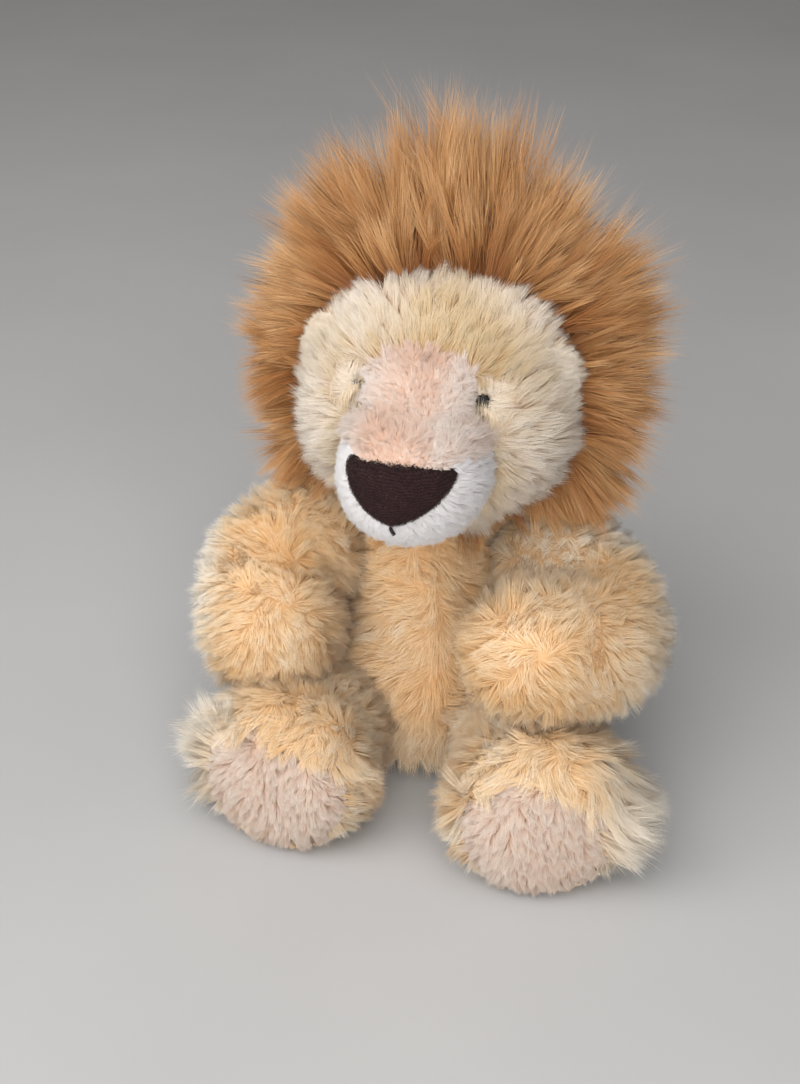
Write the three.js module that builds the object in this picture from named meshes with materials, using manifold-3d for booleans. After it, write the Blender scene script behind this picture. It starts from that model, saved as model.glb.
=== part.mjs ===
// A sitting plush lion: stuffed, sewn pile-fabric panels, a long-haired mane,
// safety eyes with lock washers, a short-pile muzzle with a dark nose patch,
// weighted seat, stubby arms and legs with pads, and a tufted tail.
// Millimetres, +Z up. The lion faces -Y, its own left side is +X.
// The origin is the middle of the flat underside of the seat.

import * as THREE from "three";
import { mergeVertices } from "three/addons/utils/BufferGeometryUtils.js";
import Module from "manifold-3d";

const wasm = await Module();
wasm.setup();

// ---------------------------------------------------------------- dimensions
const SKIN = 5.0; // backing cloth with its compressed pile
const GAP = 0.4; // between neighbouring pieces
const SWING_GAP = 1.3; // between pieces that move past each other

// torso: [height, radius] of the stuffed core, about a vertical axis
const TORSO_AXIS_Y = 4;
const TORSO_DEPTH_RATIO = 0.93;
const TORSO_PROFILE = [
  [0, 20], [2, 22.5], [9, 26], [20, 28.8], [32, 29.6], [46, 28.6],
  [60, 26], [72, 22.5], [82, 17.5], [89, 11], [92.5, 0],
];
const SEAT_THICK = 4.7;
const PELLET_BAG = { radius: 15.5, bottom: 5.4, top: 15 };

// head, about its own centre, before it is turned
const HEAD_CENTRE = [4, -6, 134];
const HEAD_TURN = -5; // degrees about +Z, minus is towards the lion's right
const HEAD_LEAN = 2; // degrees about +Y, plus is towards the lion's left
const SKULL = [40, 38, 38];
const FACE_SEAM_Y = 4; // seam between the face and the mane cloth
const MUZZLE_CENTRE = [0, -40, -6];
const MUZZLE = [22.5, 30, 20.5];
const BRIDGE_CENTRE = [0, -27, 8]; // slope from the brow down to the muzzle
const BRIDGE = [18, 21, 18];
const MUZZLE_SEAM_Z = 4.6; // above: bridge, below: chin
const NOSE_THICK = 2.0;
const NOSE_TOP_Z = 8.2; // middle of the top edge
const NOSE_CORNER_Z = 4.6;
const NOSE_TIP_Z = -9.6;
const NOSE_HALF = 16.6;
const EYE_AT = [20.5, 0, 14.5]; // y follows from the skull
const EYE_RADIUS = 4.2;
const EYE_SHANK = 1.3;
const EYE_SHANK_LENGTH = 10;
const WASHER = { radius: 5, thick: 1.4, depth: 5.7 };
const EAR_AT = [34.5, -8, 14.5];
const EAR = [11, 5, 12];
const EAR_TURN = 24; // degrees, the ears look outwards by this much
const MANE_CENTRE = [0.5, 18, 22];
const MANE = [68, 44, 67];
const MANE_OPENING = { back: 40.5, backY: 5, front: 66, frontY: -40 };
const MANE_BOTTOM = -35;

// neck: a stuffed ball that both the head and the torso are sewn around
const NECK_AT = [2, -1, 94.5];
const NECK_RADIUS = 11.5;

// limbs: centre lines from the sewn root to the end, and core radii
const LEFT_ARM = { line: [[43, -4, 74], [58, -22, 66], [57, -42, 66], [41, -57, 71]], root: 16, mid: 17, end: 17.5 };
const RIGHT_ARM = { line: [[-41, -4, 77], [-50, -15, 72], [-52, -27, 66], [-48, -36, 60]], root: 16, mid: 17, end: 17.5 };
const LEFT_LEG = { line: [[25, -23, 23.4], [40, -48, 23.4], [45.5, -75, 23.4]], root: 17, mid: 19, end: 25 };
const RIGHT_LEG = { line: [[-25, -23, 23.4], [-33, -44, 23.4], [-39, -64, 23.4]], root: 17, mid: 19, end: 24.5 };
const SOLE_AHEAD = 13; // sole plane in front of the foot's centre
const SOLE_THICK = 4.0;

// tail, curled round on the floor to the lion's left
const TAIL_LINE = [[0, 34, 14], [6, 46, 9], [22, 53, 7.5], [38, 50, 8.5]];
const TAIL_RADIUS = 5.2;
const TUFT_AT = [49, 44, 9.6];
const TUFT = [10.5, 8.5, 8.8];

// ---------------------------------------------------------------- colours
const COLOUR = {
  mane: 0xbe8f63, face: 0xe6d7b9, bridge: 0xdab59e, white: 0xebe6e1, nose: 0x342324,
  body: 0xd7a673, sole: 0xdac3b5, eye: 0x141111, thread: 0x1a1413, filling: 0xf2f0ea,
  pellets: 0xd9d4c6, washer: 0xf4f4f2, seam: 0xc99a66,
};

// ---------------------------------------------------------------- solids
const V = (a) => new THREE.Vector3(...a);
const rad = THREE.MathUtils.degToRad;

function solid(geometry) {
  const g = geometry.index ? geometry.toNonIndexed() : geometry.clone();
  for (const name of Object.keys(g.attributes)) if (name !== "position") g.deleteAttribute(name);
  const m = mergeVertices(g, 1e-4);
  const p = m.attributes.position.array;
  const tri = [];
  let volume = 0;
  const at = (i) => new THREE.Vector3(p[3 * i], p[3 * i + 1], p[3 * i + 2]);
  for (let i = 0; i < m.index.count; i += 3) {
    const [a, b, c] = [m.index.array[i], m.index.array[i + 1], m.index.array[i + 2]];
    if (a === b || b === c || a === c) continue;
    tri.push(a, b, c);
    volume += at(a).dot(at(b).cross(at(c)));
  }
  if (volume < 0) for (let i = 0; i < tri.length; i += 3) [tri[i], tri[i + 1]] = [tri[i + 1], tri[i]];
  return new wasm.Manifold(new wasm.Mesh({
    numProp: 3, vertProperties: new Float32Array(p), triVerts: new Uint32Array(tri),
  }));
}

function geometryOf(s) {
  const m = s.getMesh();
  const g = new THREE.BufferGeometry();
  const p = new Float32Array((m.vertProperties.length / m.numProp) * 3);
  for (let i = 0; i < p.length / 3; i++) {
    for (let k = 0; k < 3; k++) p[3 * i + k] = m.vertProperties[i * m.numProp + k];
  }
  g.setAttribute("position", new THREE.BufferAttribute(p, 3));
  g.setIndex(new THREE.BufferAttribute(new Uint32Array(m.triVerts), 1));
  g.computeVertexNormals();
  return g;
}

// an ellipsoid with its poles along Y
function ellipsoid(centre, radii, around = 20, along = 13) {
  const g = new THREE.SphereGeometry(1, around, along);
  g.scale(...radii);
  g.translate(...centre);
  return solid(g);
}

// everything on the side of a plane that its normal points to
function beyond(point, normal) {
  const size = 600;
  const g = new THREE.BoxGeometry(size, size, size);
  g.translate(0, 0, size / 2);
  g.applyQuaternion(new THREE.Quaternion().setFromUnitVectors(new THREE.Vector3(0, 0, 1), V(normal).normalize()));
  g.translate(...point);
  return solid(g);
}

function grown(radii, by) {
  return radii.map((r) => r + by);
}

// a turned profile of [height, radius], closed on its axis, about Z
function turned(profile, sides, depthRatio = 1, y = 0) {
  const pts = profile.map(([z, r]) => new THREE.Vector2(Math.max(r, 0), z));
  if (pts[0].x > 0) pts.unshift(new THREE.Vector2(0, pts[0].y));
  if (pts[pts.length - 1].x > 0) pts.push(new THREE.Vector2(0, pts[pts.length - 1].y));
  const g = new THREE.LatheGeometry(pts, sides);
  g.rotateX(Math.PI / 2);
  g.rotateZ(Math.PI / sides);
  g.scale(1, depthRatio, 1);
  g.translate(0, y, 0);
  return solid(g);
}

// a round limb: a turned profile bent along a smooth centre line
function limb(line, radiusAt, sides, steps, grow = 0) {
  const curve = new THREE.CatmullRomCurve3(line.map(V), false, "centripetal");
  const length = curve.getLength();
  const r0 = radiusAt(0) + grow;
  const r1 = radiusAt(1) + grow;
  const profile = [];
  for (let i = 0; i <= 3; i++) {
    const a = (i / 3) * (Math.PI / 2);
    profile.push([(-r0 * Math.cos(a)) / length, r0 * Math.sin(a)]);
  }
  for (let i = 1; i < steps; i++) profile.push([i / steps, radiusAt(i / steps) + grow]);
  for (let i = 3; i >= 0; i--) {
    const a = (i / 3) * (Math.PI / 2);
    profile.push([1 + (r1 * Math.cos(a)) / length, r1 * Math.sin(a)]);
  }
  const g = new THREE.LatheGeometry(profile.map(([t, r]) => new THREE.Vector2(i0(r), t)), sides);
  const p = g.attributes.position;
  const up = new THREE.Vector3(0, 0, 1);
  for (let i = 0; i < p.count; i++) {
    const t = p.getY(i);
    const k = THREE.MathUtils.clamp(t, 0, 1);
    const tangent = curve.getTangentAt(k);
    const side = new THREE.Vector3().crossVectors(tangent, up).normalize();
    const top = new THREE.Vector3().crossVectors(side, tangent).normalize();
    const q = curve.getPointAt(k).addScaledVector(tangent, (t - k) * length);
    q.addScaledVector(side, p.getX(i)).addScaledVector(top, p.getZ(i));
    p.setXYZ(i, q.x, q.y, q.z);
  }
  return solid(g);
}

function i0(r) {
  return r < 1e-6 ? 0 : r;
}

const smooth = (t) => t * t * (3 - 2 * t);
const limbRadius = (l) => (t) => (t < 0.5
  ? THREE.MathUtils.lerp(l.root, l.mid, smooth(t / 0.5))
  : THREE.MathUtils.lerp(l.mid, l.end, smooth((t - 0.5) / 0.5)));

// a sewn thread lying along a line
function thread(points, radius, steps) {
  const ring = new THREE.Shape();
  for (let i = 0; i < 6; i++) {
    const a = (i / 6) * 2 * Math.PI;
    if (i === 0) ring.moveTo(radius * Math.cos(a), radius * Math.sin(a));
    else ring.lineTo(radius * Math.cos(a), radius * Math.sin(a));
  }
  ring.closePath();
  const path = new THREE.CatmullRomCurve3(points.map(V));
  return solid(new THREE.ExtrudeGeometry(ring, { extrudePath: path, steps, bevelEnabled: false }));
}

function mesh(name, body, colour, roughness = 0.9, metalness = 0) {
  const m = new THREE.Mesh(geometryOf(body), new THREE.MeshStandardMaterial({ color: colour, roughness, metalness }));
  m.name = name;
  return m;
}

// ---------------------------------------------------------------- scene graph
const lion = new THREE.Group();
const head = new THREE.Group();
head.position.set(...HEAD_CENTRE);
head.rotation.set(0, rad(HEAD_LEAN), rad(HEAD_TURN));
head.updateMatrix();
const intoHead = head.matrix.clone().invert();
const neckInHead = V(NECK_AT).applyMatrix4(intoHead).toArray();

// ---------------------------------------------------------------- head
const skull = ellipsoid([0, 0, 0], SKULL, 18, 12);
const skullInside = ellipsoid([0, 0, 0], grown(SKULL, -SKIN), 18, 12);
const skullFilling = ellipsoid([0, 0, 0], grown(SKULL, -SKIN - GAP), 18, 12);
const snout = (by) => ellipsoid(MUZZLE_CENTRE, grown(MUZZLE, by), 18, 12)
  .add(ellipsoid(BRIDGE_CENTRE, grown(BRIDGE, by), 16, 10));
const muzzle = snout(0);
const muzzleClear = snout(GAP);
const muzzleInside = snout(-SKIN + 1);
const muzzleFilling = snout(-SKIN + 1 - GAP);
const neckRoomInHead = ellipsoid(neckInHead, grown([1, 1, 1], NECK_RADIUS - 1 + SWING_GAP), 14, 10);

// safety eyes: a dome on a ribbed shank, locked by a washer behind the cloth
function eyeAxis(side) {
  const [x, , z] = [EYE_AT[0] * side, 0, EYE_AT[2]];
  const y = -SKULL[1] * Math.sqrt(1 - (x / SKULL[0]) ** 2 - (z / SKULL[2]) ** 2);
  const out = new THREE.Vector3(x / SKULL[0] ** 2, y / SKULL[1] ** 2, z / SKULL[2] ** 2).normalize();
  out.lerp(new THREE.Vector3(0, -1, 0), 0.35).normalize();
  return { at: new THREE.Vector3(x, y, z), out };
}

// a turned profile of [distance outwards, radius] placed on an eye's axis
function onEye(profile, side, sides) {
  const { at, out } = eyeAxis(side);
  const pts = profile.map(([h, r]) => new THREE.Vector2(r, h));
  const g = new THREE.LatheGeometry(pts, sides);
  g.applyQuaternion(new THREE.Quaternion().setFromUnitVectors(new THREE.Vector3(0, 1, 0), out));
  g.translate(at.x, at.y, at.z);
  return solid(g);
}

const eyeProfile = [
  [-EYE_SHANK_LENGTH, 0], [-EYE_SHANK_LENGTH, EYE_SHANK], [1.6, EYE_SHANK], [1.6, EYE_RADIUS],
  [2.3, EYE_RADIUS], [3.4, EYE_RADIUS * 0.86], [4.3, EYE_RADIUS * 0.55], [4.7, 0],
];
const shankRoom = [[-EYE_SHANK_LENGTH - 0.6, 0], [-EYE_SHANK_LENGTH - 0.6, EYE_SHANK + GAP], [2, EYE_SHANK + GAP], [2, 0]];
const domeRoom = [[1.2, 0], [1.2, EYE_RADIUS + GAP], [6, EYE_RADIUS + GAP], [6, 0]];
const washerProfile = [
  [-WASHER.depth - WASHER.thick, EYE_SHANK + 0.35], [-WASHER.depth - WASHER.thick, WASHER.radius],
  [-WASHER.depth, WASHER.radius], [-WASHER.depth, EYE_SHANK + 0.35],
  [-WASHER.depth - WASHER.thick, EYE_SHANK + 0.35],
];
const washerRoom = [
  [-WASHER.depth - WASHER.thick - GAP, 0], [-WASHER.depth - WASHER.thick - GAP, WASHER.radius + GAP],
  [-3, WASHER.radius + GAP], [-3, 0],
];

let face = skull.subtract(skullInside).subtract(beyond([0, FACE_SEAM_Y, 0], [0, 1, 0]))
  .subtract(muzzleClear).subtract(neckRoomInHead);
let filling = skullFilling.add(muzzleFilling).subtract(neckRoomInHead);
for (const side of [1, -1]) {
  face = face.subtract(onEye(shankRoom, side, 10)).subtract(onEye(domeRoom, side, 12));
  filling = filling.subtract(onEye(shankRoom, side, 10)).subtract(onEye(washerRoom, side, 12));
}
// the washers bear on the inside of the face cloth
const washerFace = (side) => onEye(washerProfile, side, 14);
for (const side of [1, -1]) {
  face = face.subtract(onEye([
    [-WASHER.depth - WASHER.thick - GAP, 0], [-WASHER.depth - WASHER.thick - GAP, WASHER.radius + GAP],
    [-WASHER.depth + GAP, WASHER.radius + GAP], [-WASHER.depth + GAP, 0],
  ], side, 12));
}
head.add(mesh("face_panel", face, COLOUR.face));
head.add(mesh("head_back_panel",
  skull.subtract(skullInside).intersect(beyond([0, FACE_SEAM_Y + GAP, 0], [0, 1, 0])).subtract(neckRoomInHead),
  COLOUR.mane));
head.add(mesh("head_stuffing", filling, COLOUR.filling));

const muzzleShell = muzzle.subtract(muzzleInside).subtract(ellipsoid([0, 0, 0], grown(SKULL, -SKIN), 18, 12));
head.add(mesh("muzzle_bridge_panel", muzzleShell.intersect(beyond([0, 0, MUZZLE_SEAM_Z], [0, 0, 1])), COLOUR.bridge));
head.add(mesh("muzzle_chin_panel", muzzleShell.subtract(beyond([0, 0, MUZZLE_SEAM_Z - GAP], [0, 0, 1])), COLOUR.white));

// nose patch: a rounded triangle that follows the muzzle
const noseShape = new THREE.Shape();
noseShape.moveTo(-NOSE_HALF, NOSE_CORNER_Z - 1.2);
noseShape.quadraticCurveTo(-NOSE_HALF, NOSE_CORNER_Z + 0.6, -NOSE_HALF + 2, NOSE_CORNER_Z + 1.2);
noseShape.quadraticCurveTo(0, NOSE_TOP_Z + 3.2, NOSE_HALF - 2, NOSE_CORNER_Z + 1.2);
noseShape.quadraticCurveTo(NOSE_HALF, NOSE_CORNER_Z + 0.6, NOSE_HALF, NOSE_CORNER_Z - 1.2);
noseShape.quadraticCurveTo(NOSE_HALF * 0.86, NOSE_TIP_Z + 5.5, 3.2, NOSE_TIP_Z + 0.6);
noseShape.quadraticCurveTo(0, NOSE_TIP_Z - 0.8, -3.2, NOSE_TIP_Z + 0.6);
noseShape.quadraticCurveTo(-NOSE_HALF * 0.86, NOSE_TIP_Z + 5.5, -NOSE_HALF, NOSE_CORNER_Z - 1.2);
const nosePrism = new THREE.ExtrudeGeometry(noseShape, { depth: 60, bevelEnabled: false, curveSegments: 4 });
nosePrism.rotateX(Math.PI / 2); // shape height to +Z, depth to -Y
nosePrism.translate(0, -40, 0);
head.add(mesh("nose_patch",
  solid(nosePrism)
    .intersect(ellipsoid(MUZZLE_CENTRE, grown(MUZZLE, GAP + NOSE_THICK), 22, 15))
    .subtract(ellipsoid(MUZZLE_CENTRE, grown(MUZZLE, GAP), 22, 15)),
  COLOUR.nose, 0.95));

function onMuzzle(x, z, above) {
  const y = MUZZLE_CENTRE[1] - (MUZZLE[1] + above) * Math.sqrt(
    1 - ((x - MUZZLE_CENTRE[0]) / (MUZZLE[0] + above)) ** 2 - ((z - MUZZLE_CENTRE[2]) / (MUZZLE[2] + above)) ** 2);
  return [x, y, z];
}
head.add(mesh("mouth_stitch",
  thread([onMuzzle(0, NOSE_TIP_Z - 1.1, 1.2), onMuzzle(0.5, NOSE_TIP_Z - 3, 1.2), onMuzzle(1.4, NOSE_TIP_Z - 5, 1.2)], 0.6, 6),
  COLOUR.thread, 0.6));

for (const side of [1, -1]) {
  const name = side > 0 ? "left" : "right";
  head.add(mesh(`${name}_eye`, onEye(eyeProfile, side, 14), COLOUR.eye, 0.1));
  head.add(mesh(`${name}_eye_washer`, washerFace(side), COLOUR.washer, 0.5));
}

// ears: two flat cloth lobes each, sewn into the seam at the side of the face
const skullClear = ellipsoid([0, 0, 0], grown(SKULL, GAP), 18, 12);
function earSolid(side, by) {
  const g = new THREE.SphereGeometry(1, 12, 8);
  g.scale(...grown(EAR, by));
  g.rotateZ(rad(EAR_TURN * side));
  g.translate(EAR_AT[0] * side, EAR_AT[1], EAR_AT[2]);
  return solid(g);
}
const earLooks = (side) => [Math.sin(rad(EAR_TURN)) * side, -Math.cos(rad(EAR_TURN)), 0];
const earCentre = (side) => [EAR_AT[0] * side, EAR_AT[1], EAR_AT[2]];
for (const side of [1, -1]) {
  const name = side > 0 ? "left" : "right";
  const whole = earSolid(side, 0).subtract(skullClear);
  const look = earLooks(side);
  const behind = look.map((v) => -v);
  const c = earCentre(side);
  const front = c.map((v, i) => v + look[i] * GAP);
  head.add(mesh(`${name}_ear_front`, whole.intersect(beyond(front, look)), COLOUR.face));
  head.add(mesh(`${name}_ear_back`, whole.intersect(beyond(c, behind)), COLOUR.mane));
}

// mane: the body of long hair around the back and sides of the head
const opening = new THREE.CylinderGeometry(MANE_OPENING.back, MANE_OPENING.front, MANE_OPENING.backY - MANE_OPENING.frontY, 22);
opening.translate(0, (MANE_OPENING.backY + MANE_OPENING.frontY) / 2, 0);
let mane = ellipsoid(MANE_CENTRE, MANE, 22, 14)
  .subtract(skullClear)
  .subtract(solid(opening))
  .subtract(beyond([0, 0, MANE_BOTTOM], [0, 0, -1]))
  .subtract(neckRoomInHead);
for (const side of [1, -1]) mane = mane.subtract(earSolid(side, GAP));
head.add(mesh("mane_pile", mane, COLOUR.mane));
lion.add(head);

// ---------------------------------------------------------------- neck
lion.add(mesh("neck_stuffing", ellipsoid(NECK_AT, [NECK_RADIUS, NECK_RADIUS, NECK_RADIUS], 14, 10), COLOUR.filling));

// ---------------------------------------------------------------- torso
function torsoAt(by) {
  const profile = TORSO_PROFILE.map(([z, r]) => [z, r]);
  if (by === 0) return turned(profile, 18, TORSO_DEPTH_RATIO, TORSO_AXIS_Y);
  const top = profile[profile.length - 1][0];
  const squeezed = profile.map(([z, r]) => [z * (1 + by / top), r > 0 ? Math.max(r + by, 1.5) : 0]);
  return turned(squeezed, 18, TORSO_DEPTH_RATIO, TORSO_AXIS_Y);
}
const ball = (at, r) => ellipsoid(at, [r, r, r], 14, 10);
const rooms = [
  ball(LEFT_ARM.line[0], LEFT_ARM.root + SWING_GAP),
  ball(RIGHT_ARM.line[0], RIGHT_ARM.root + SWING_GAP),
  ball(LEFT_LEG.line[0], LEFT_LEG.root + SWING_GAP),
  ball(RIGHT_LEG.line[0], RIGHT_LEG.root + SWING_GAP),
  ball(TAIL_LINE[0], TAIL_RADIUS + SWING_GAP),
  ball(NECK_AT, NECK_RADIUS + SWING_GAP),
];
const headRoom = (() => {
  const g = new THREE.SphereGeometry(1, 18, 12);
  g.scale(...grown(SKULL, 2.2));
  g.applyMatrix4(head.matrix);
  return solid(g);
})();
const clear = (s) => rooms.reduce((body, room) => body.subtract(room), s).subtract(headRoom);
const torsoShell = clear(torsoAt(0).subtract(torsoAt(-SKIN)).intersect(beyond([0, 0, SEAT_THICK + GAP], [0, 0, 1])));
lion.add(mesh("torso_front_panel", torsoShell.subtract(beyond([0, TORSO_AXIS_Y, 0], [0, 1, 0])), COLOUR.body));
lion.add(mesh("torso_back_panel", torsoShell.intersect(beyond([0, TORSO_AXIS_Y + GAP, 0], [0, 1, 0])), COLOUR.body));
lion.add(mesh("seat_panel", torsoAt(0).subtract(beyond([0, 0, SEAT_THICK], [0, 0, 1])), COLOUR.body));
const bagRoom = turned([[2, PELLET_BAG.radius + GAP], [PELLET_BAG.top + GAP, PELLET_BAG.radius + GAP]], 18, TORSO_DEPTH_RATIO, TORSO_AXIS_Y);
lion.add(mesh("torso_stuffing",
  clear(torsoAt(-SKIN - GAP).intersect(beyond([0, 0, SEAT_THICK + GAP], [0, 0, 1]))).subtract(bagRoom),
  COLOUR.filling));
const bag = turned([
  [PELLET_BAG.bottom, PELLET_BAG.radius - 3], [PELLET_BAG.bottom + 2, PELLET_BAG.radius - 0.6],
  [(PELLET_BAG.bottom + PELLET_BAG.top) / 2, PELLET_BAG.radius], [PELLET_BAG.top - 2, PELLET_BAG.radius - 0.8],
  [PELLET_BAG.top, PELLET_BAG.radius - 4],
], 18, TORSO_DEPTH_RATIO, TORSO_AXIS_Y);
lion.add(mesh("pellet_bag", clear(bag), COLOUR.pellets));

// ladder stitch that closes the filling hole in the back
function torsoBack(z, above) {
  let r = 0;
  for (let i = 1; i < TORSO_PROFILE.length; i++) {
    const [[z0, r0], [z1, r1]] = [TORSO_PROFILE[i - 1], TORSO_PROFILE[i]];
    if (z >= z0 && z <= z1) r = r0 + ((r1 - r0) * (z - z0)) / (z1 - z0);
  }
  return [0, TORSO_AXIS_Y + r * TORSO_DEPTH_RATIO + above, z];
}
lion.add(mesh("closing_stitch", thread([30, 38, 46, 54, 62].map((z) => torsoBack(z, 1.3)), 0.6, 6), COLOUR.seam));

// ---------------------------------------------------------------- arms
// normal of the plane through a limb's root, middle and end, pointing up
function limbPlane(line) {
  const a = V(line[0]);
  const b = V(line[Math.floor(line.length / 2)]);
  const c = V(line[line.length - 1]);
  const n = new THREE.Vector3().crossVectors(b.sub(a), c.clone().sub(a)).normalize();
  return n.z < 0 ? n.negate() : n;
}

function addArm(side, name, arm) {
  const r = limbRadius(arm);
  const outer = limb(arm.line, r, 12, 5);
  const inner = limb(arm.line, r, 12, 5, -SKIN);
  const shell = outer.subtract(inner);
  const n = limbPlane(arm.line);
  const at = V(arm.line[0]);
  const above = at.clone().addScaledVector(n, GAP / 2).toArray();
  const below = at.clone().addScaledVector(n, -GAP / 2).toArray();
  lion.add(mesh(`${name}_arm_top_panel`, shell.intersect(beyond(above, n.toArray())), COLOUR.body));
  lion.add(mesh(`${name}_arm_under_panel`, shell.intersect(beyond(below, n.clone().negate().toArray())), COLOUR.body));
  lion.add(mesh(`${name}_arm_stuffing`, limb(arm.line, r, 12, 5, -SKIN - GAP), COLOUR.filling));
  // pad under the paw
  const end = V(arm.line[arm.line.length - 1]);
  const before = V(arm.line[arm.line.length - 2]);
  const along = end.clone().sub(before).normalize();
  const padAt = end.clone().addScaledVector(along, 3).addScaledVector(n, -arm.end);
  const pad = limb(arm.line, r, 12, 5, GAP + 1.8).subtract(limb(arm.line, r, 12, 5, GAP))
    .intersect(ellipsoid(padAt.toArray(), [12.5, 12.5, 12.5], 12, 8));
  lion.add(mesh(`${name}_paw_pad`, pad, COLOUR.sole));
}
addArm(1, "left", LEFT_ARM);
addArm(-1, "right", RIGHT_ARM);

// ---------------------------------------------------------------- legs
function addLeg(name, leg) {
  const r = limbRadius(leg);
  const floor = beyond([0, 0, 0], [0, 0, 1]);
  const end = V(leg.line[leg.line.length - 1]);
  const along = end.clone().sub(V(leg.line[leg.line.length - 2])).normalize();
  const tilt = along.clone().add(new THREE.Vector3(0, 0, 0.12)).normalize();
  const soleAt = end.clone().addScaledVector(along, SOLE_AHEAD);
  const soleFront = beyond(soleAt.toArray(), tilt.toArray());
  const soleBack = beyond(soleAt.clone().addScaledVector(tilt, -SOLE_THICK).toArray(), tilt.toArray());
  const soleRoom = beyond(soleAt.clone().addScaledVector(tilt, -SOLE_THICK - GAP).toArray(), tilt.toArray());
  const outer = limb(leg.line, r, 14, 4).intersect(floor);
  const inner = limb(leg.line, r, 14, 4, -SKIN);
  const shell = outer.subtract(inner).subtract(soleRoom);
  const z = leg.line[0][2];
  lion.add(mesh(`${name}_leg_top_panel`, shell.intersect(beyond([0, 0, z + GAP / 2], [0, 0, 1])), COLOUR.body));
  lion.add(mesh(`${name}_leg_under_panel`, shell.subtract(beyond([0, 0, z - GAP / 2], [0, 0, 1])), COLOUR.body));
  lion.add(mesh(`${name}_leg_stuffing`, limb(leg.line, r, 14, 4, -SKIN - GAP).subtract(soleRoom), COLOUR.filling));
  lion.add(mesh(`${name}_sole`, outer.intersect(soleBack).subtract(soleFront), COLOUR.sole));
}
addLeg("left", LEFT_LEG);
addLeg("right", RIGHT_LEG);

// ---------------------------------------------------------------- tail
const tuft = ellipsoid(TUFT_AT, TUFT, 14, 10);
lion.add(mesh("tail_tube",
  limb(TAIL_LINE, () => TAIL_RADIUS, 10, 8).subtract(ellipsoid(TUFT_AT, grown(TUFT, GAP), 14, 10)), COLOUR.body));
lion.add(mesh("tail_tuft", tuft, COLOUR.mane));

export default lion;
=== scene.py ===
# Looks of a sitting plush lion: pile-fabric panels with real strands of pile, a long-haired mane,
# a knitted nose patch, glossy eyes and sewn threads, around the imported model.
# Numbers in this script are millimetres in the part's own frame, scaled to metres when a mesh is made.
import math

import bpy
import numpy as np
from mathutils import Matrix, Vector


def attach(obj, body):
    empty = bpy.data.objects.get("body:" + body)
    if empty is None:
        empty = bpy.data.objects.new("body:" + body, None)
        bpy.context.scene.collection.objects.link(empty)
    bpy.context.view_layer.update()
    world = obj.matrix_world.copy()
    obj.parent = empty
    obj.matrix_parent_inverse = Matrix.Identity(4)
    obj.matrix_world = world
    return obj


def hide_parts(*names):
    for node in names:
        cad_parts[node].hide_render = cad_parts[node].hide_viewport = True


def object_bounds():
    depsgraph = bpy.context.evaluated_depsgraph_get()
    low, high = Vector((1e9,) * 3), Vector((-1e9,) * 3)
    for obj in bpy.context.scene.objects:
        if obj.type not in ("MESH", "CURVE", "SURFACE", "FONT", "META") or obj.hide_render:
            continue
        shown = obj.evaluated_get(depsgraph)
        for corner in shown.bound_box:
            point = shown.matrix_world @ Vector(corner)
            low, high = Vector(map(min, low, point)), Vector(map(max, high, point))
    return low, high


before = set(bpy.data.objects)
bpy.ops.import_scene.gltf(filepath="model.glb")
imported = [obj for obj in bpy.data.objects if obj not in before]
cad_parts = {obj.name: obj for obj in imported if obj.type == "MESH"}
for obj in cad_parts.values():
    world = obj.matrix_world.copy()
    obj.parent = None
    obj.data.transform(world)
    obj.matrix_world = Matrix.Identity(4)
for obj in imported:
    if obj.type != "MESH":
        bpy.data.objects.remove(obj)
CAD_BOX = [[float(x) for x in v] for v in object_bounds()]
MM = 0.001

# ------------------------------------------------------------------------------------ camera
EYE_POINT = (62.394, -517.964, 376.551)
LOOK_AT = (-14.744, 30.899, 56.551)
LENS = 57.914

cam_data = bpy.data.cameras.new("camera")
cam_data.lens = LENS
cam_data.sensor_width = 36.0
cam_data.clip_start, cam_data.clip_end = 0.01, 50.0
cam = bpy.data.objects.new("camera", cam_data)
cam.location = Vector(EYE_POINT) * MM
cam.rotation_mode = "QUATERNION"
cam.rotation_quaternion = (Vector(LOOK_AT) - Vector(EYE_POINT)).to_track_quat("-Z", "Y")
bpy.context.scene.collection.objects.link(cam)
bpy.context.scene.camera = cam
bpy.context.scene.view_settings.view_transform = "Standard"

# ------------------------------------------------------------------------------------ dimensions
TORSO_AXIS_Y, TORSO_DEPTH = 4.0, 0.93
TORSO_PROFILE = [
    (0, 20), (2, 22.5), (9, 26), (20, 28.8), (32, 29.6), (46, 28.6),
    (60, 26), (72, 22.5), (82, 17.5), (89, 11), (92.5, 0),
]
HEAD_CENTRE = np.array([4.0, -6.0, 134.0])
HEAD_TURN, HEAD_LEAN = -5.0, 2.0
SKULL = np.array([40.0, 38.0, 38.0])
FACE_SEAM_Y = 4.0
MUZZLE_CENTRE, MUZZLE = np.array([0, -40.0, -6.0]), np.array([22.5, 30.0, 20.5])
BRIDGE_CENTRE, BRIDGE = np.array([0, -27.0, 8.0]), np.array([18.0, 21.0, 18.0])
MUZZLE_SEAM_Z = 4.6
NOSE_TOP_Z, NOSE_CORNER_Z, NOSE_TIP_Z, NOSE_HALF = 8.2, 4.6, -9.6, 16.6
EYE_AT, EYE_RADIUS = (20.5, 14.5), 4.2
EAR_AT, EAR, EAR_TURN = np.array([34.5, -8.0, 14.5]), np.array([11.0, 5.0, 12.0]), 24.0
MANE_CENTRE, MANE = np.array([0.5, 18.0, 22.0]), np.array([68.0, 44.0, 67.0])
NECK_AT, NECK_RADIUS = np.array([2.0, -1.0, 94.5]), 11.5
LEFT_ARM = dict(line=[[43, -4, 74], [58, -22, 66], [57, -42, 66], [41, -57, 71]], radii=(16, 17, 17.5))
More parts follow.
